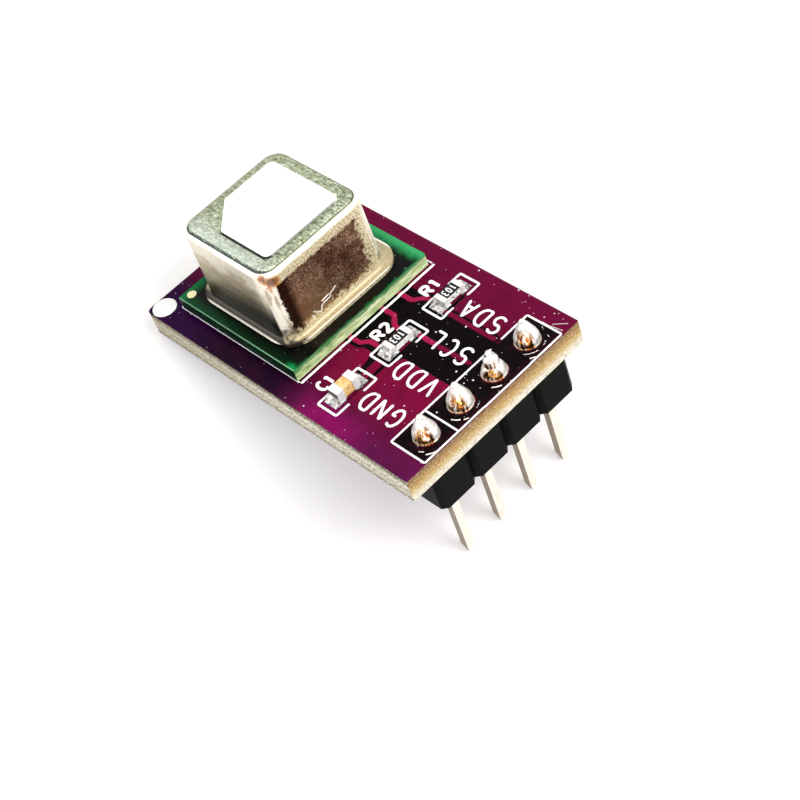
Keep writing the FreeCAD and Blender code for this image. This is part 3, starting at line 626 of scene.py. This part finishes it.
def substrateMaterial():
    # thin green masked laminate, scored and snapped: almost black on top, partly painted shade beside the can, with a
    # bright green rim near
    #  the edges and a painted highlight line along the near edge; pale fibrous edges under a green skin, with painted
    #  shade on every side but the header side
    material, add = newMaterial("substrate_green_mask_scored")
    place = boardSpace(add)
    xyz = add("split", place)
    normal = boardNormal(add)
    cloud = add("noise", place, *substrateLook["cloud"])
    wave = add("range", cloud, 0.35, 0.65, -0.06, 0.06)
    depths = {
        "right": add("subtract", substrateLook["right"], xyz[0]),
        "far": add("subtract", substrateLook["far"], xyz[1]),
        "left": add("subtract", xyz[0], substrateLook["left"]),
        "near": add("subtract", xyz[1], substrateLook["near"]),
    }
    waved = {side: add("add", depth, wave) for side, depth in depths.items()}
    header = zone(add, (waved["right"], 0.16, 0.05), (xyz[1], 1.5, 10.5, 0.2, 0.4))
    far = add("range", waved["far"], 0.95, 0.1)
    left = zone(add, (waved["left"], 0.9, 0.1), (xyz[1], 5.0, 2.2, 0.0, 0.55))
    near = zone(add, (waved["near"], 0.9, 0.15), (xyz[0], 9.0, 3.0, 0.04, 0.16))
    corner = zone(add, (waved["near"], 0.5, 0.1), (xyz[0], 10.9, 11.7, 0.0, 0.8))
    rim = add("maximum", add("maximum", header, far), left)
    rim = add("maximum", add("maximum", near, corner), rim)
    # almost black top, partly painted shade beside the can
    top = add("mix", add("range", cloud, 0.3, 0.7), "#010201", "#030604")
    top = add("mix", rim, top, add("mix", far, "#12904c", "#369e60"))
    # painted highlight: a thin light line along the near edge
    nearEdgeHighlight = add("range", depths["near"], 0.09, 0.05, 0.0, 0.6)
    top = add("mix", nearEdgeHighlight, top, "#8fc79a")
    flecks = add("multiply", specks(add, place, *substrateLook["flecks"]), add("range", xyz[1], 7.0, 11.0, 0.15, 1.0))
    top = add("mix", flecks, top, "#cfe6d4")

    streak = add("noise", add("stretch", place, substrateLook["streakStretch"]), *substrateLook["streak"])
    side = add("ramp", streak, stops=[(0.3, "#4c6a36"), (0.4, "#93ad70"), (0.52, "#c3d39c"), (0.7, "#eef0d0")])
    # painted shade for the sides that do not face the header end
    shadedSide = add("ramp", streak, stops=[(0.35, "#04120a"), (0.6, "#0b2c1a"), (0.75, "#3a6a4c")])
    skin = add("range", add("add", xyz[2], wave), 0.6, 0.74, 0.0, 0.8)
    side = add("mix", add("range", normal[0], 0.4, 0.8), shadedSide, add("mix", skin, side, "#1f7440"))
    colour = add("mix", add("range", normal[2], 0.5, 0.8), side, top)
    finishSurface(add, colour, 0.32, specular=0.08, bump=streak, bumpMm=0.02)
    return material


canLook = {
    "fine": (7.0, 4.0, 0.75),  # blasted top, pits of 0.05 mm, drawn at 0.14 mm so that they show
    "brushed": (2.6, 4.0, 0.6),  # brush lines under the blasting, 0.12 mm apart, along x
    "brushedStretch": (1.0, 3.2, 1.0),
    "streaks": (1.0, 4.0, 0.55),  # drawing lines round the walls, 0.2 mm apart
    "streaksStretch": (0.45, 0.45, 5.0),
    "cloud": (0.9, 3.0, 0.6),  # clouds of about 1 mm, in the painted wall reflection and the painted cream highlight
    "sparkle": (11.0, 3.0, 0.8),  # single bright grains, 0.02 mm in truth, drawn at 0.09 mm
    "ragged": (3.5, 4.0, 0.7),  # ragged borders of the painted highlight bands and shades, every 0.3 mm
    "edgeGlint": (1.0, 4.0, 0.6),  # breaks in the painted highlights on the upright corners, 0.3 mm wide
    "edgeGlintStretch": (3.5, 3.5, 0.6),
    "dust": (4.4, 0.035, 0.4),
    "rust": (1.7, 5.0, 0.6),  # ragged border of the rusty spot
    "rustSpot": (10.35, 2.95, 5.35),
    "middle": (6.8, 6.435, 0),  # under the can's middle
    "flange": (4.16, 4.26),  # from the middle, where the flange's painted bright rim starts
    "crown": (5.3, 5.5),  # the height from which a face belongs to the top
    # the film's near edge, with a painted shadow line before it: y on both sides, x from the cut corner to the other
    # end
    "filmShadowLine": ((3.55, 3.6), (3.8, 3.7), (5.5, 5.8), (9.7, 9.3, 0.0, 0.85)),
}


def frostedTop(add, xyz, normal, grain):
    # greenish grey blasted metal, with painted light on the near side, a painted dark reflection where the edge
    # starts to bend and along the sensor end, and a painted shadow before the film's near edge
    frosted = add("add", add("multiply", grain["fine"], 0.6), add("multiply", grain["brushed"], 0.4))
    top = add("ramp", frosted, stops=[(0.36, "#4c513a"), (0.45, "#8a9273"), (0.54, "#bcc5a8"), (0.62, "#eef3e0")])
    # painted light: the near side of the top is lighter
    nearSideLight = zone(add, (xyz[1], 4.5, 2.8, 0.0, 0.45), (xyz[0], 10.4, 8.8, 0.3, 1.0))
    top = add("mix", nearSideLight, top, "#effaf2")
    # painted dark reflection along the sensor end of the top
    top = add("mix", add("range", xyz[0], 4.3, 3.4, 0.0, 0.45), top, "#8f917c")
    # painted dark reflection where the edge starts to bend
    bendReflection = zone(add, (normal[2], 0.72, 0.8), (normal[2], 0.93, 0.86, 0.0, 0.85))
    top = add("mix", bendReflection, top, "#4b4d3e")
    # painted dark teal reflection along the bend on the near side
    nearBendReflection = zone(add, (normal[1], -0.2, -0.32), (grain["sparkle"], 0.62, 0.5, 0.0, 0.9))
    top = add("mix", nearBendReflection, top, "#2c3a3a")
    # painted shadow of the film's edge, a dark line before its near edge
    filmShadow = zone(add, *((xyz[axis], *ends) for axis, ends in zip((1, 1, 0, 0), canLook["filmShadowLine"])))
    return add("mix", filmShadow, top, "#0a0c08")


def wallReflection(add, place, xyz, grain):
    # the header wall: a painted brown reflection of the board in the metal, mottled, with light dust flecks, painted
    # lighter and darker patches and a painted gold highlight band round it
    mottle = add("add", add("multiply", grain["sparkle"], 0.7), add("multiply", grain["cloud"], 0.3))
    brown = add("ramp", mottle, stops=[(0.4, "#3c241a"), (0.48, "#755240"), (0.55, "#a37c5e"), (0.63, "#ecd6b4")])
    # painted highlight: a paler patch low towards the near corner
    palerHighlight = zone(add, (xyz[1], 6.5, 4.2), (xyz[2], 4.8, 2.5, 0.0, 0.5))
    brown = add("mix", palerHighlight, brown, "#d6b184")
    # painted shade: darker along the near corner
    brown = add("mix", add("range", xyz[1], 4.0, 3.5, 0.0, 0.92), brown, "#2a1208")
    brown = add("mix", specks(add, place, *canLook["dust"]), brown, "#fbf0d8")
    # painted gold highlight band along the crown, the far corner and the foot
    upper = add("range", add("add", xyz[2], add("multiply", grain["ragged"], 0.35)), 5.06, 5.18)
    farther = add("range", add("add", xyz[1], grain["ragged"]), 8.65, 8.95)
    lower = add("range", add("add", xyz[2], grain["ragged"]), 1.75, 1.35)
    gold = add("maximum", upper, add("maximum", farther, lower))
    giltHighlight = add("mix", add("range", grain["sparkle"], 0.42, 0.52), "#927c40", "#f0e5c2")
    return add("mix", add("multiply", gold, 0.9), brown, giltHighlight), gold


def brushedWall(add, xyz, grain):
    # bare wall with drawing lines, a painted cream highlight above and towards the near corner, and painted shade,
    # almost black, at the foot
    wall = add("ramp", grain["streaks"], stops=[(0.3, "#9a8d70"), (0.5, "#b9ab8b"), (0.7, "#dcd1b4")])
    # painted shade, almost black, towards the foot
    slant = add("range", xyz[0], 4.0, 9.0, 0.0, 0.9)
    low = add("range", add("subtract", xyz[2], slant), 3.9, 1.2)
    # painted cream highlight on the upper wall
    creamHighlight = add("range", add("add", xyz[2], add("range", grain["cloud"], 0.3, 0.7, -0.5, 0.5)), 4.0, 5.2, 0.0, 0.75)
    wall = add("mix", creamHighlight, wall, "#f3ecdc")
    # painted highlight towards the near upright corner
    wall = add("mix", add("range", xyz[0], 8.9, 10.3, 0.0, 0.7), wall, "#fbf6e6")
    wall = add("mix", add("range", grain["sparkle"], 0.44, 0.36, 0.0, 0.4), wall, "#4a4230")
    return add("mix", low, wall, "#050302")


def highlightEdges(add, place, xyz, normal, grain):
    # painted highlights on the upright corners, the crown's edge, the foot's bend and the flange, with painted shade
    # low on the corners and on the flange's near side
    edgeHighlight = add("mix", add("range", grain["fine"], 0.35, 0.65), "#f3ebd9", "#fffcf2")
    upright = add("mix", add("range", grain["edgeGlint"], 0.34, 0.5), "#b5a688", "#f6efdf")
    # painted shade low on the upright corners
    cornerFootShade = add("range", add("add", xyz[2], grain["ragged"]), 2.1, 1.5, 0.0, 0.9)
    upright = add("mix", cornerFootShade, upright, "#2c2116")
    # painted highlight on the foot's bend, with painted shade on its near side and corner
    footHighlightAndShade = add("mix", add("range", grain["fine"], 0.3, 0.7), "#a89874", "#c2b48e")
    shadedSide = add("range", add("add", xyz[1], add("range", xyz[0], 9.5, 10.6, 0.0, 0.4)), 2.85, 2.6)
    corner = add("range", add("add", add("subtract", xyz[0], xyz[1]), grain["ragged"]), 7.4, 7.9)
    footHighlightAndShade = add("mix", add("maximum", shadedSide, corner), footHighlightAndShade, "#2c261c")
    # painted bright rim on the flange
    reach = add("split", add("unsigned", add("offset", place, canLook["middle"])))
    rim = add("range", add("maximum", reach[0], reach[1]), *canLook["flange"])
    above = add("mix", add("range", normal[2], 0.3, 0.1), edgeHighlight, upright)
    return add("mix", add("range", xyz[2], 1.6, 1.35), above, add("mix", rim, footHighlightAndShade, edgeHighlight))


def canMaterial():
    # nickel silver, deep drawn, blasted on top and brushed on the walls: a warm grey metal, frosted on top, with
    # painted highlights
    #  on its rounded edges and a painted brown reflection of the board on the header wall
    material, add = newMaterial("nickel_silver_drawn_brushed")
    place = boardSpace(add)
    xyz = add("split", place)
    normal = boardNormal(add)
    grain = {name: add("noise", place, *canLook[name]) for name in ("fine", "cloud", "sparkle", "ragged")}
    for name in ("brushed", "streaks", "edgeGlint"):
        grain[name] = add("noise", add("stretch", place, canLook[name + "Stretch"]), *canLook[name])
    grain["ragged"] = add("range", grain["ragged"], 0.3, 0.7, -0.3, 0.3)
    # brown is a painted reflection of the board, gold the painted gold highlight band round it
    brown, gold = wallReflection(add, place, xyz, grain)
    wall = add("mix", add("range", normal[0], 0.62, 0.86), brushedWall(add, xyz, grain), brown)
    uneven = add("add", add("absolute", normal[1]), add("multiply", grain["ragged"], 0.25))
    upright = zone(add, (add("absolute", normal[0]), 0.35, 0.5), (uneven, 0.4, 0.5))
    edges = add("maximum", add("range", normal[2], 0.1, 0.35), upright)
    colour = add("mix", edges, wall, highlightEdges(add, place, xyz, normal, grain))
    topMask = zone(add, (normal[2], 0.72, 0.8), (xyz[2], *canLook["crown"]))
    colour = add("mix", topMask, colour, frostedTop(add, xyz, normal, grain))

    # one rusty spot on the crown's near corner at the header side
    ragged = add("range", add("noise", place, *canLook["rust"]), 0.3, 0.7, -0.3, 0.3)
    spot = add("add", add("distance", place, canLook["rustSpot"]), ragged)
    rust = add("mix", add("range", spot, 0.1, 0.45), "#6a2c06", "#c07a30")
    colour = add("mix", add("range", spot, 0.6, 0.36, 0.0, 0.9), colour, rust)

    # the edges with painted highlights, the flange and the painted gold band are made less metallic, so they reflect
    # less sharply than the rest
    edgeGlint = add("multiply", edges, add("range", normal[2], 0.8, 0.75, 0.0, 0.85))
    flange = zone(add, (normal[2], 0.75, 0.9, 0.0, 0.75), (xyz[2], *canLook["crown"], 1.0, 0.0))
    metallic = add("subtract", add("subtract", 1.0, edgeGlint), flange)
    band = add("multiply", gold, add("range", normal[0], 0.62, 0.86, 0.0, 0.75))
    metallic = add("multiply", metallic, add("subtract", 1.0, band))
    rough = add("range", normal[2], 0.72, 0.9, 0.3, 0.5)
    relief = add("add", grain["fine"], add("multiply", grain["streaks"], 0.35))
    finishSurface(add, colour, rough, metallic, bump=relief, bumpMm=0.02)
    return material


solderLook = {
    "wrinkle": (2.4, 4.0, 0.6),  # folds of 0.4 mm in the cooled skin
    "specks": (7.0, 3.0, 0.7),  # burnt flux, 0.05 mm in truth, drawn at 0.14 mm
    "stripes": (2.2, 3.0, 0.6),  # streaks of 0.2 mm down the cone in the painted reflection
    "stripesStretch": (2.4, 2.4, 0.5),
}


def solderMaterial():
    # tin solder, wetted by hand: a mirror with soft folds, specked at the tip, with a painted amber and dark
    # reflection at the foot
    #  on the side towards the header end and the near edge
    material, add = newMaterial("solder_tin_wetted")
    place = boardSpace(add)
    normal = boardNormal(add)
    tip = add("split", place)[2]
    wrinkle = add("noise", place, *solderLook["wrinkle"])
    colour = add("mix", add("range", wrinkle, 0.35, 0.6), "#ded8cc", "#ffffff")
    specked = add("range", add("noise", place, *solderLook["specks"]), 0.42, 0.36)
    colour = add("mix", add("multiply", specked, add("range", tip, 0.9, 1.25)), colour, "#1d1a16")
    facing = add("subtract", add("multiply", normal[0], 0.6), add("multiply", normal[1], 0.8))
    stripes = add("noise", add("stretch", place, solderLook["stripesStretch"]), *solderLook["stripes"])
    # painted reflection: amber with dark streaks, on the side facing the header end and the near edge
    reflectionSide = zone(add, (facing, 0.5, 0.78), (tip, 1.25, 0.8))
    amberReflection = add("multiply", reflectionSide, add("range", stripes, 0.4, 0.5))
    colour = add("mix", amberReflection, colour, add("mix", add("range", wrinkle, 0.4, 0.6), "#a85a18", "#d9a058"))
    colour = add("mix", add("multiply", reflectionSide, add("range", stripes, 0.55, 0.6)), colour, "#1c0a04")
    finishSurface(add, colour, 0.18, add("range", amberReflection, 0.0, 1.0, 0.4, 0.9), bump=wrinkle, bumpMm=0.04)
    return material


resistorLook = {
    "glass": (8.0, 4.0, 0.5),  # ripples of 0.12 mm
    "chips": (5.0, 4.0, 0.7),  # broken grains of alumina, 0.05 mm in truth, drawn at 0.2 mm
}


def resistorMaterial():
    # alumina chip with a printed black glass coat: glossy black on top, chalk white and chipped at the sides
    material, add = newMaterial("resistor_alumina_glass_coat")
    place = boardSpace(add)
    normal = boardNormal(add)
    grain = add("noise", place, *resistorLook["glass"])
    coat = add("mix", add("range", grain, 0.3, 0.7), "#050507", "#121114")
    chips = add("noise", place, *resistorLook["chips"])
    body = add("mix", add("range", chips, 0.36, 0.46), "#2a2622", "#fdfbf8")
    colour = add("mix", add("range", normal[2], 0.4, 0.7), body, coat)
    finishSurface(add, colour, 0.35, specular=0.3, bump=grain, bumpMm=0.006)
    return material


def plainMaterial(name, dark, light, perMm, roughness, metallic=0.0, specular=0.5, bumpMm=0.008):
    # two tones mixed by a fine noise, with a bump of the same noise
    material, add = newMaterial(name)
    grain = add("noise", boardSpace(add), perMm, 4.0, 0.6)
    colour = add("mix", add("range", grain, 0.3, 0.7), dark, light)
    finishSurface(add, colour, roughness, metallic, specular, bump=grain, bumpMm=bumpMm)
    return material


def sidedMaterial(name, light, dark, perMm, roughness, metallic, sides, bumpMm, stretch=None):
    # a light tone that turns dark where x and y of the normal, weighted by sides, add up to 1; the dark is painted:
    # shade on the film's edge and the pins, a reflection of the dark board on the capacitor's caps
    material, add = newMaterial(name)
    place, normal = boardSpace(add), boardNormal(add)
    grain = add("noise", add("stretch", place, stretch) if stretch else place, perMm, 4.0, 0.6)
    turned = add("add", add("multiply", normal[0], sides[0]), add("multiply", normal[1], sides[1]))
    pale = add("mix", add("range", grain, 0.3, 0.7, 0.0, 0.25), light, dark)
    colour = add("mix", add("range", turned, 0.35, 0.8), pale, dark)
    finishSurface(add, colour, roughness, metallic, bump=grain, bumpMm=bumpMm)
    return material


# nickel, rolled: plain grey metal
lid = plainMaterial("package_lid_nickel", "#a9a9a2", "#dcdcd6", 5.0, 0.3, 1.0)
# epoxy, moulded: dark grey with grains of filler
epoxy = plainMaterial("package_epoxy_black", "#101010", "#1c1c1c", 5.0, 0.5)

# Each finish, with the nodes that have it: a node takes the first one whose part is in its name
finishes = (
    ("carrier_board", laminateMaterial()),
    ("sensor_board", substrateMaterial()),
    ("sensor_can", canMaterial()),
    # porous film, skived: dead white and matt, its cut edge in shadow; the pores are drawn at 0.17 mm to show
    ("gas_membrane", sidedMaterial("membrane_ptfe_matt", "#fcfcfb", "#060605", 6.0, 0.7, 0.0, (0.6, -1.0), 0.004)),
    # glass filled nylon, moulded: deep black with a faint grain of 0.15 mm and hardly any gloss
    ("header_insulator",
     plainMaterial("header_nylon_black_satin", "#040404", "#0a0a09", 7.0, 0.5, specular=0.05, bumpMm=0.01)),
    # tin plated brass, drawn wire: warm silver with lines along the pin, with painted shade where it faces the near
    # side
    ("header_pin",
     sidedMaterial("pin_tin_plated_brass", "#fbf4e6", "#8c7f6a", 3.0, 0.3, 1.0, (0.0, -1.0), 0.006, (3.0, 3.0, 0.5))),
    ("pin_solder", solderMaterial()),
    # copper washed with tin: dull warm silver, crystals drawn at 0.17 mm
    ("plated_hole", plainMaterial("copper_tinned", "#b0a592", "#e2dccb", 6.0, 0.3, 1.0)),
    # barium titanate, fired and tumbled: smooth pale tan, clouds of 0.25 mm
    ("capacitor_body", plainMaterial("capacitor_ceramic_tan", "#d0a055", "#f2d49a", 4.0, 0.45, specular=0.3)),
    ("_body", resistorMaterial()),
    # tin plated end caps, barrel plated: whitish and uneven, with a painted reflection of the dark board where the
    # capacitor's face the near side
    ("capacitor_end_caps",
     sidedMaterial("capacitor_cap_tin", "#ffffff", "#4a4037", 5.0, 0.4, 0.2, (0.45, -1.0), 0.02)),
    ("_end_caps", plainMaterial("end_cap_tin_plated", "#e4e1da", "#ffffff", 6.0, 0.4, 0.3, bumpMm=0.03)),
    # reflowed solder paste: lumps of 0.2 mm, white where they catch the light and dark between
    ("_solder", plainMaterial("solder_tin_reflowed", "#3d3934", "#fbfaf7", 5.0, 0.4, 0.3, bumpMm=0.06)),
    # coated silicon, polished: dark blue mirror
    ("infrared_filter", plainMaterial("filter_silicon_coated", "#2a3140", "#48566e", 3.0, 0.15, 0.6)),
    ("infrared_emitter", lid),
    ("gas_microphone", lid),
    ("humidity_temperature_die", epoxy),
    ("control_chip", epoxy),
)
for name, node in nodes.items():
    node.data.materials.clear()
    node.data.materials.append(next(finish for part, finish in finishes if part in name))
print("stage: node materials")


# Small marks: a gold pad on the substrate, painted glints and hairline scratches round the joints, scratches on the
# can

pad = {"centre": (2.31, 2.01), "radius": 0.29, "level": 0.88, "height": 0.02}

glintsAndHairs = {
    "height": 0.03,
    # pin, radius, start and end in degrees, width
    "arcs": (
        (0, 1.32, -46, -13, 0.08), (0, 1.12, -66, -50, 0.06), (1, 1.16, -71, -45, 0.08), (1, 1.2, -38, -24, 0.08),
        (1, 1.0, 10, 40, 0.05), (2, 1.1, -55, -25, 0.09), (3, 1.0, -60, -12, 0.09), (3, 1.34, -42, -28, 0.07),
        (3, 1.0, 10, 30, 0.06),
    ),
    "hairWidth": 0.035,
    "hairHeight": 0.012,
    "hairs": (
        [(20.33, 11.74), (20.81, 11.73), (21.71, 11.88)],
        [(20.54, 11.49), (20.94, 11.25), (21.38, 11.17)],
        [(20.9, 11.9), (21.6, 12.4)],
    ),
}

scratches = {
    "wallX": 10.655,
    "width": 0.08,
    "height": 0.012,
    # y and z along each scratch
    "paths": (
        [(6.31, 2.37), (6.02, 2.24), (5.83, 2.2), (5.76, 1.99), (5.26, 1.97), (5.05, 1.86), (4.97, 1.66),
         (4.91, 1.6)],
        [(5.74, 2.22), (5.16, 2.15)],
        [(4.47, 1.99), (4.6, 1.82), (4.84, 1.64), (4.93, 1.52)],
        [(4.28, 1.81), (4.48, 1.61)],
    ),
}


def goldPad():
    # gold plated copper, left bare: soft pale gold
    gold = plainMaterial("pad_gold_plated", "#f1e2a0", "#fdf6cf", 8.0, 0.35, 0.3)
    shell = disc(pad["centre"], pad["radius"], lambda x, y: 0 * x + pad["level"], pad["height"])
    meshPiece("substrate_pad", [shell], gold)


def glintArcsAndHairs():
    # painted glints: short cream arcs at the foot of the joints, where light catches the rings' rims, and three
    # hairline scratches
    glintAndScratchWhite = plainMaterial("glint_arcs_and_scratches_white", "#cdbfae", "#fffdf8", 6.0, 0.3)
    shells = []
    for pin, radius, start, end, width in glintsAndHairs["arcs"]:
        path = arc(sheet["pinX"], sheet["pinY"][pin], radius, radius, start, end, 8)
        shells.append(stroke(path, width, maskHeight, glintsAndHairs["height"]))
    shells += [stroke(path, glintsAndHairs["hairWidth"], maskHeight, glintsAndHairs["hairHeight"]) for path in glintsAndHairs["hairs"]]
    meshPiece("glint_arcs_and_scratches", shells, glintAndScratchWhite)


def onWall(shell):
    # a stroke drawn on the plane moves to an upright wall: across becomes y, along becomes z
    points, faces = shell
    return np.stack([scratches["wallX"] + points[:, 2], points[:, 0], points[:, 1]], -1), faces


def canScratches():
    # bare metal scratches: bright thin lines low on the can's header wall
    bright = plainMaterial("scratch_bare_metal", "#efe6d6", "#ffffff", 9.0, 0.3, 0.4)
    shells = [onWall(stroke(path, scratches["width"], 0.0, scratches["height"])) for path in scratches["paths"]]
    meshPiece("can_scratches", shells, bright)


goldPad()
glintArcsAndHairs()
canScratches()
print("stage: small marks")


# Floor, light and camera, in metres

studio = {
    # place, diameter, watts
    "lamps": {
        "key": ((0.16, 0.14, 0.42), 0.3, 1.7),
        "overhead": ((-0.05, -0.12, 0.5), 0.4, 1.0),
        "front": ((0.35, -0.3, 0.12), 0.25, 0.4),
        "low_left": ((-0.3, -0.32, 0.08), 0.25, 0.5),
    },
    "aim": (0, 0, 0.004),
    "worldLight": 0.5,
    "floorRings": (0.02, 0.08, 0.4, 1.5),
    "cardGrain": (40.0, 3.0, 0.5),  # clouds of 25 mm
    "floorWhite": 0.4,  # share of plain white in what the camera sees of the floor
    # the camera's place and axes in the board frame, and its focal length in pixels of a picture 800 wide
    "cameraPlace": (77.49, -28.45, 70.73),
    "cameraForward": (-0.6105, 0.3273, -0.7213),
    "cameraRight": (0.6728, 0.6948, -0.2541),
    "focal": 1895.73,
    "pixels": 800,
    "sensor": 36.0,
}


def areaLamp(name, place, size, watts):
    # a round lamp that points at the part
    lamp = bpy.data.lights.new(name, "AREA")
    lamp.shape = "DISK"
    lamp.size = size
    lamp.energy = watts
    holder = bpy.data.objects.new(name, lamp)
    holder.location = place
    holder.rotation_euler = (Vector(studio["aim"]) - Vector(place)).to_track_quat("-Z", "Y").to_euler()
    bpy.context.scene.collection.objects.link(holder)


def seenRays(add):
    # 1 for what the camera sees, straight, in a reflection or through glass
    rays = add("rays")
    seen = add("maximum", rays["Is Camera Ray"], rays["Is Glossy Ray"])
    return add("maximum", seen, rays["Is Transmission Ray"])


def studioWorld():
    # white to the camera and in reflections, grey for the light it gives
    world = bpy.data.worlds.new("studio")
    world.use_nodes = True
    world.node_tree.nodes.clear()
    add = partial(addNode, world.node_tree)
    dim = add("sky", "#ffffff", studio["worldLight"])
    white = add("sky", "#ffffff", 1.0)
    add("world", add("blend", seenRays(add), dim, white))
    bpy.context.scene.world = world


def studioFloor():
    # white card, matt, under the part; its colour is partly plain white, so the shadow stays light
    material, add = newMaterial("floor_white_card")
    grain = add("noise", add("place"), *studio["cardGrain"])
    card = add("shader", add("mix", grain, "#f6f2f0", "#fbf9f8"), 0.8)
    share = add("multiply", seenRays(add), studio["floorWhite"])
    add("surface", add("blend", share, card, add("glow", "#ffffff", 1.0)))
    count = 48
    turn = np.linspace(0, 2 * np.pi, count, endpoint=False)
    rings = [np.stack([r * np.cos(turn), r * np.sin(turn), 0 * turn], -1) for r in studio["floorRings"]]
    faces = gridFaces(len(rings), count, closed=True).tolist() + [list(range(count))[::-1]]
    mesh = bpy.data.meshes.new("floor")
    mesh.from_pydata(np.concatenate(rings).tolist(), [], [face[::-1] for face in faces])
    mesh.materials.append(material)
    floor = bpy.data.objects.new("floor", mesh)
    bpy.context.scene.collection.objects.link(floor)


def studioCamera():
    # the photograph's view
    place = toRow(studio["cameraPlace"])
    forward = turnToRow(studio["cameraForward"])
    right = turnToRow(studio["cameraRight"])
    turn = Matrix((right, right.cross(forward), -forward)).transposed().to_4x4()
    data = bpy.data.cameras.new("camera")
    data.sensor_width = studio["sensor"]
    data.lens = studio["sensor"] * studio["focal"] / studio["pixels"]
    data.clip_start = 0.005
    camera = bpy.data.objects.new("camera", data)
    camera.matrix_world = Matrix.Translation(place) @ turn
    bpy.context.scene.collection.objects.link(camera)
    bpy.context.scene.camera = camera


for name, lamp in studio["lamps"].items():
    areaLamp(name, *lamp)
studioWorld()
studioFloor()
studioCamera()
bpy.context.scene.view_settings.view_transform = "Standard"
print("stage: studio")
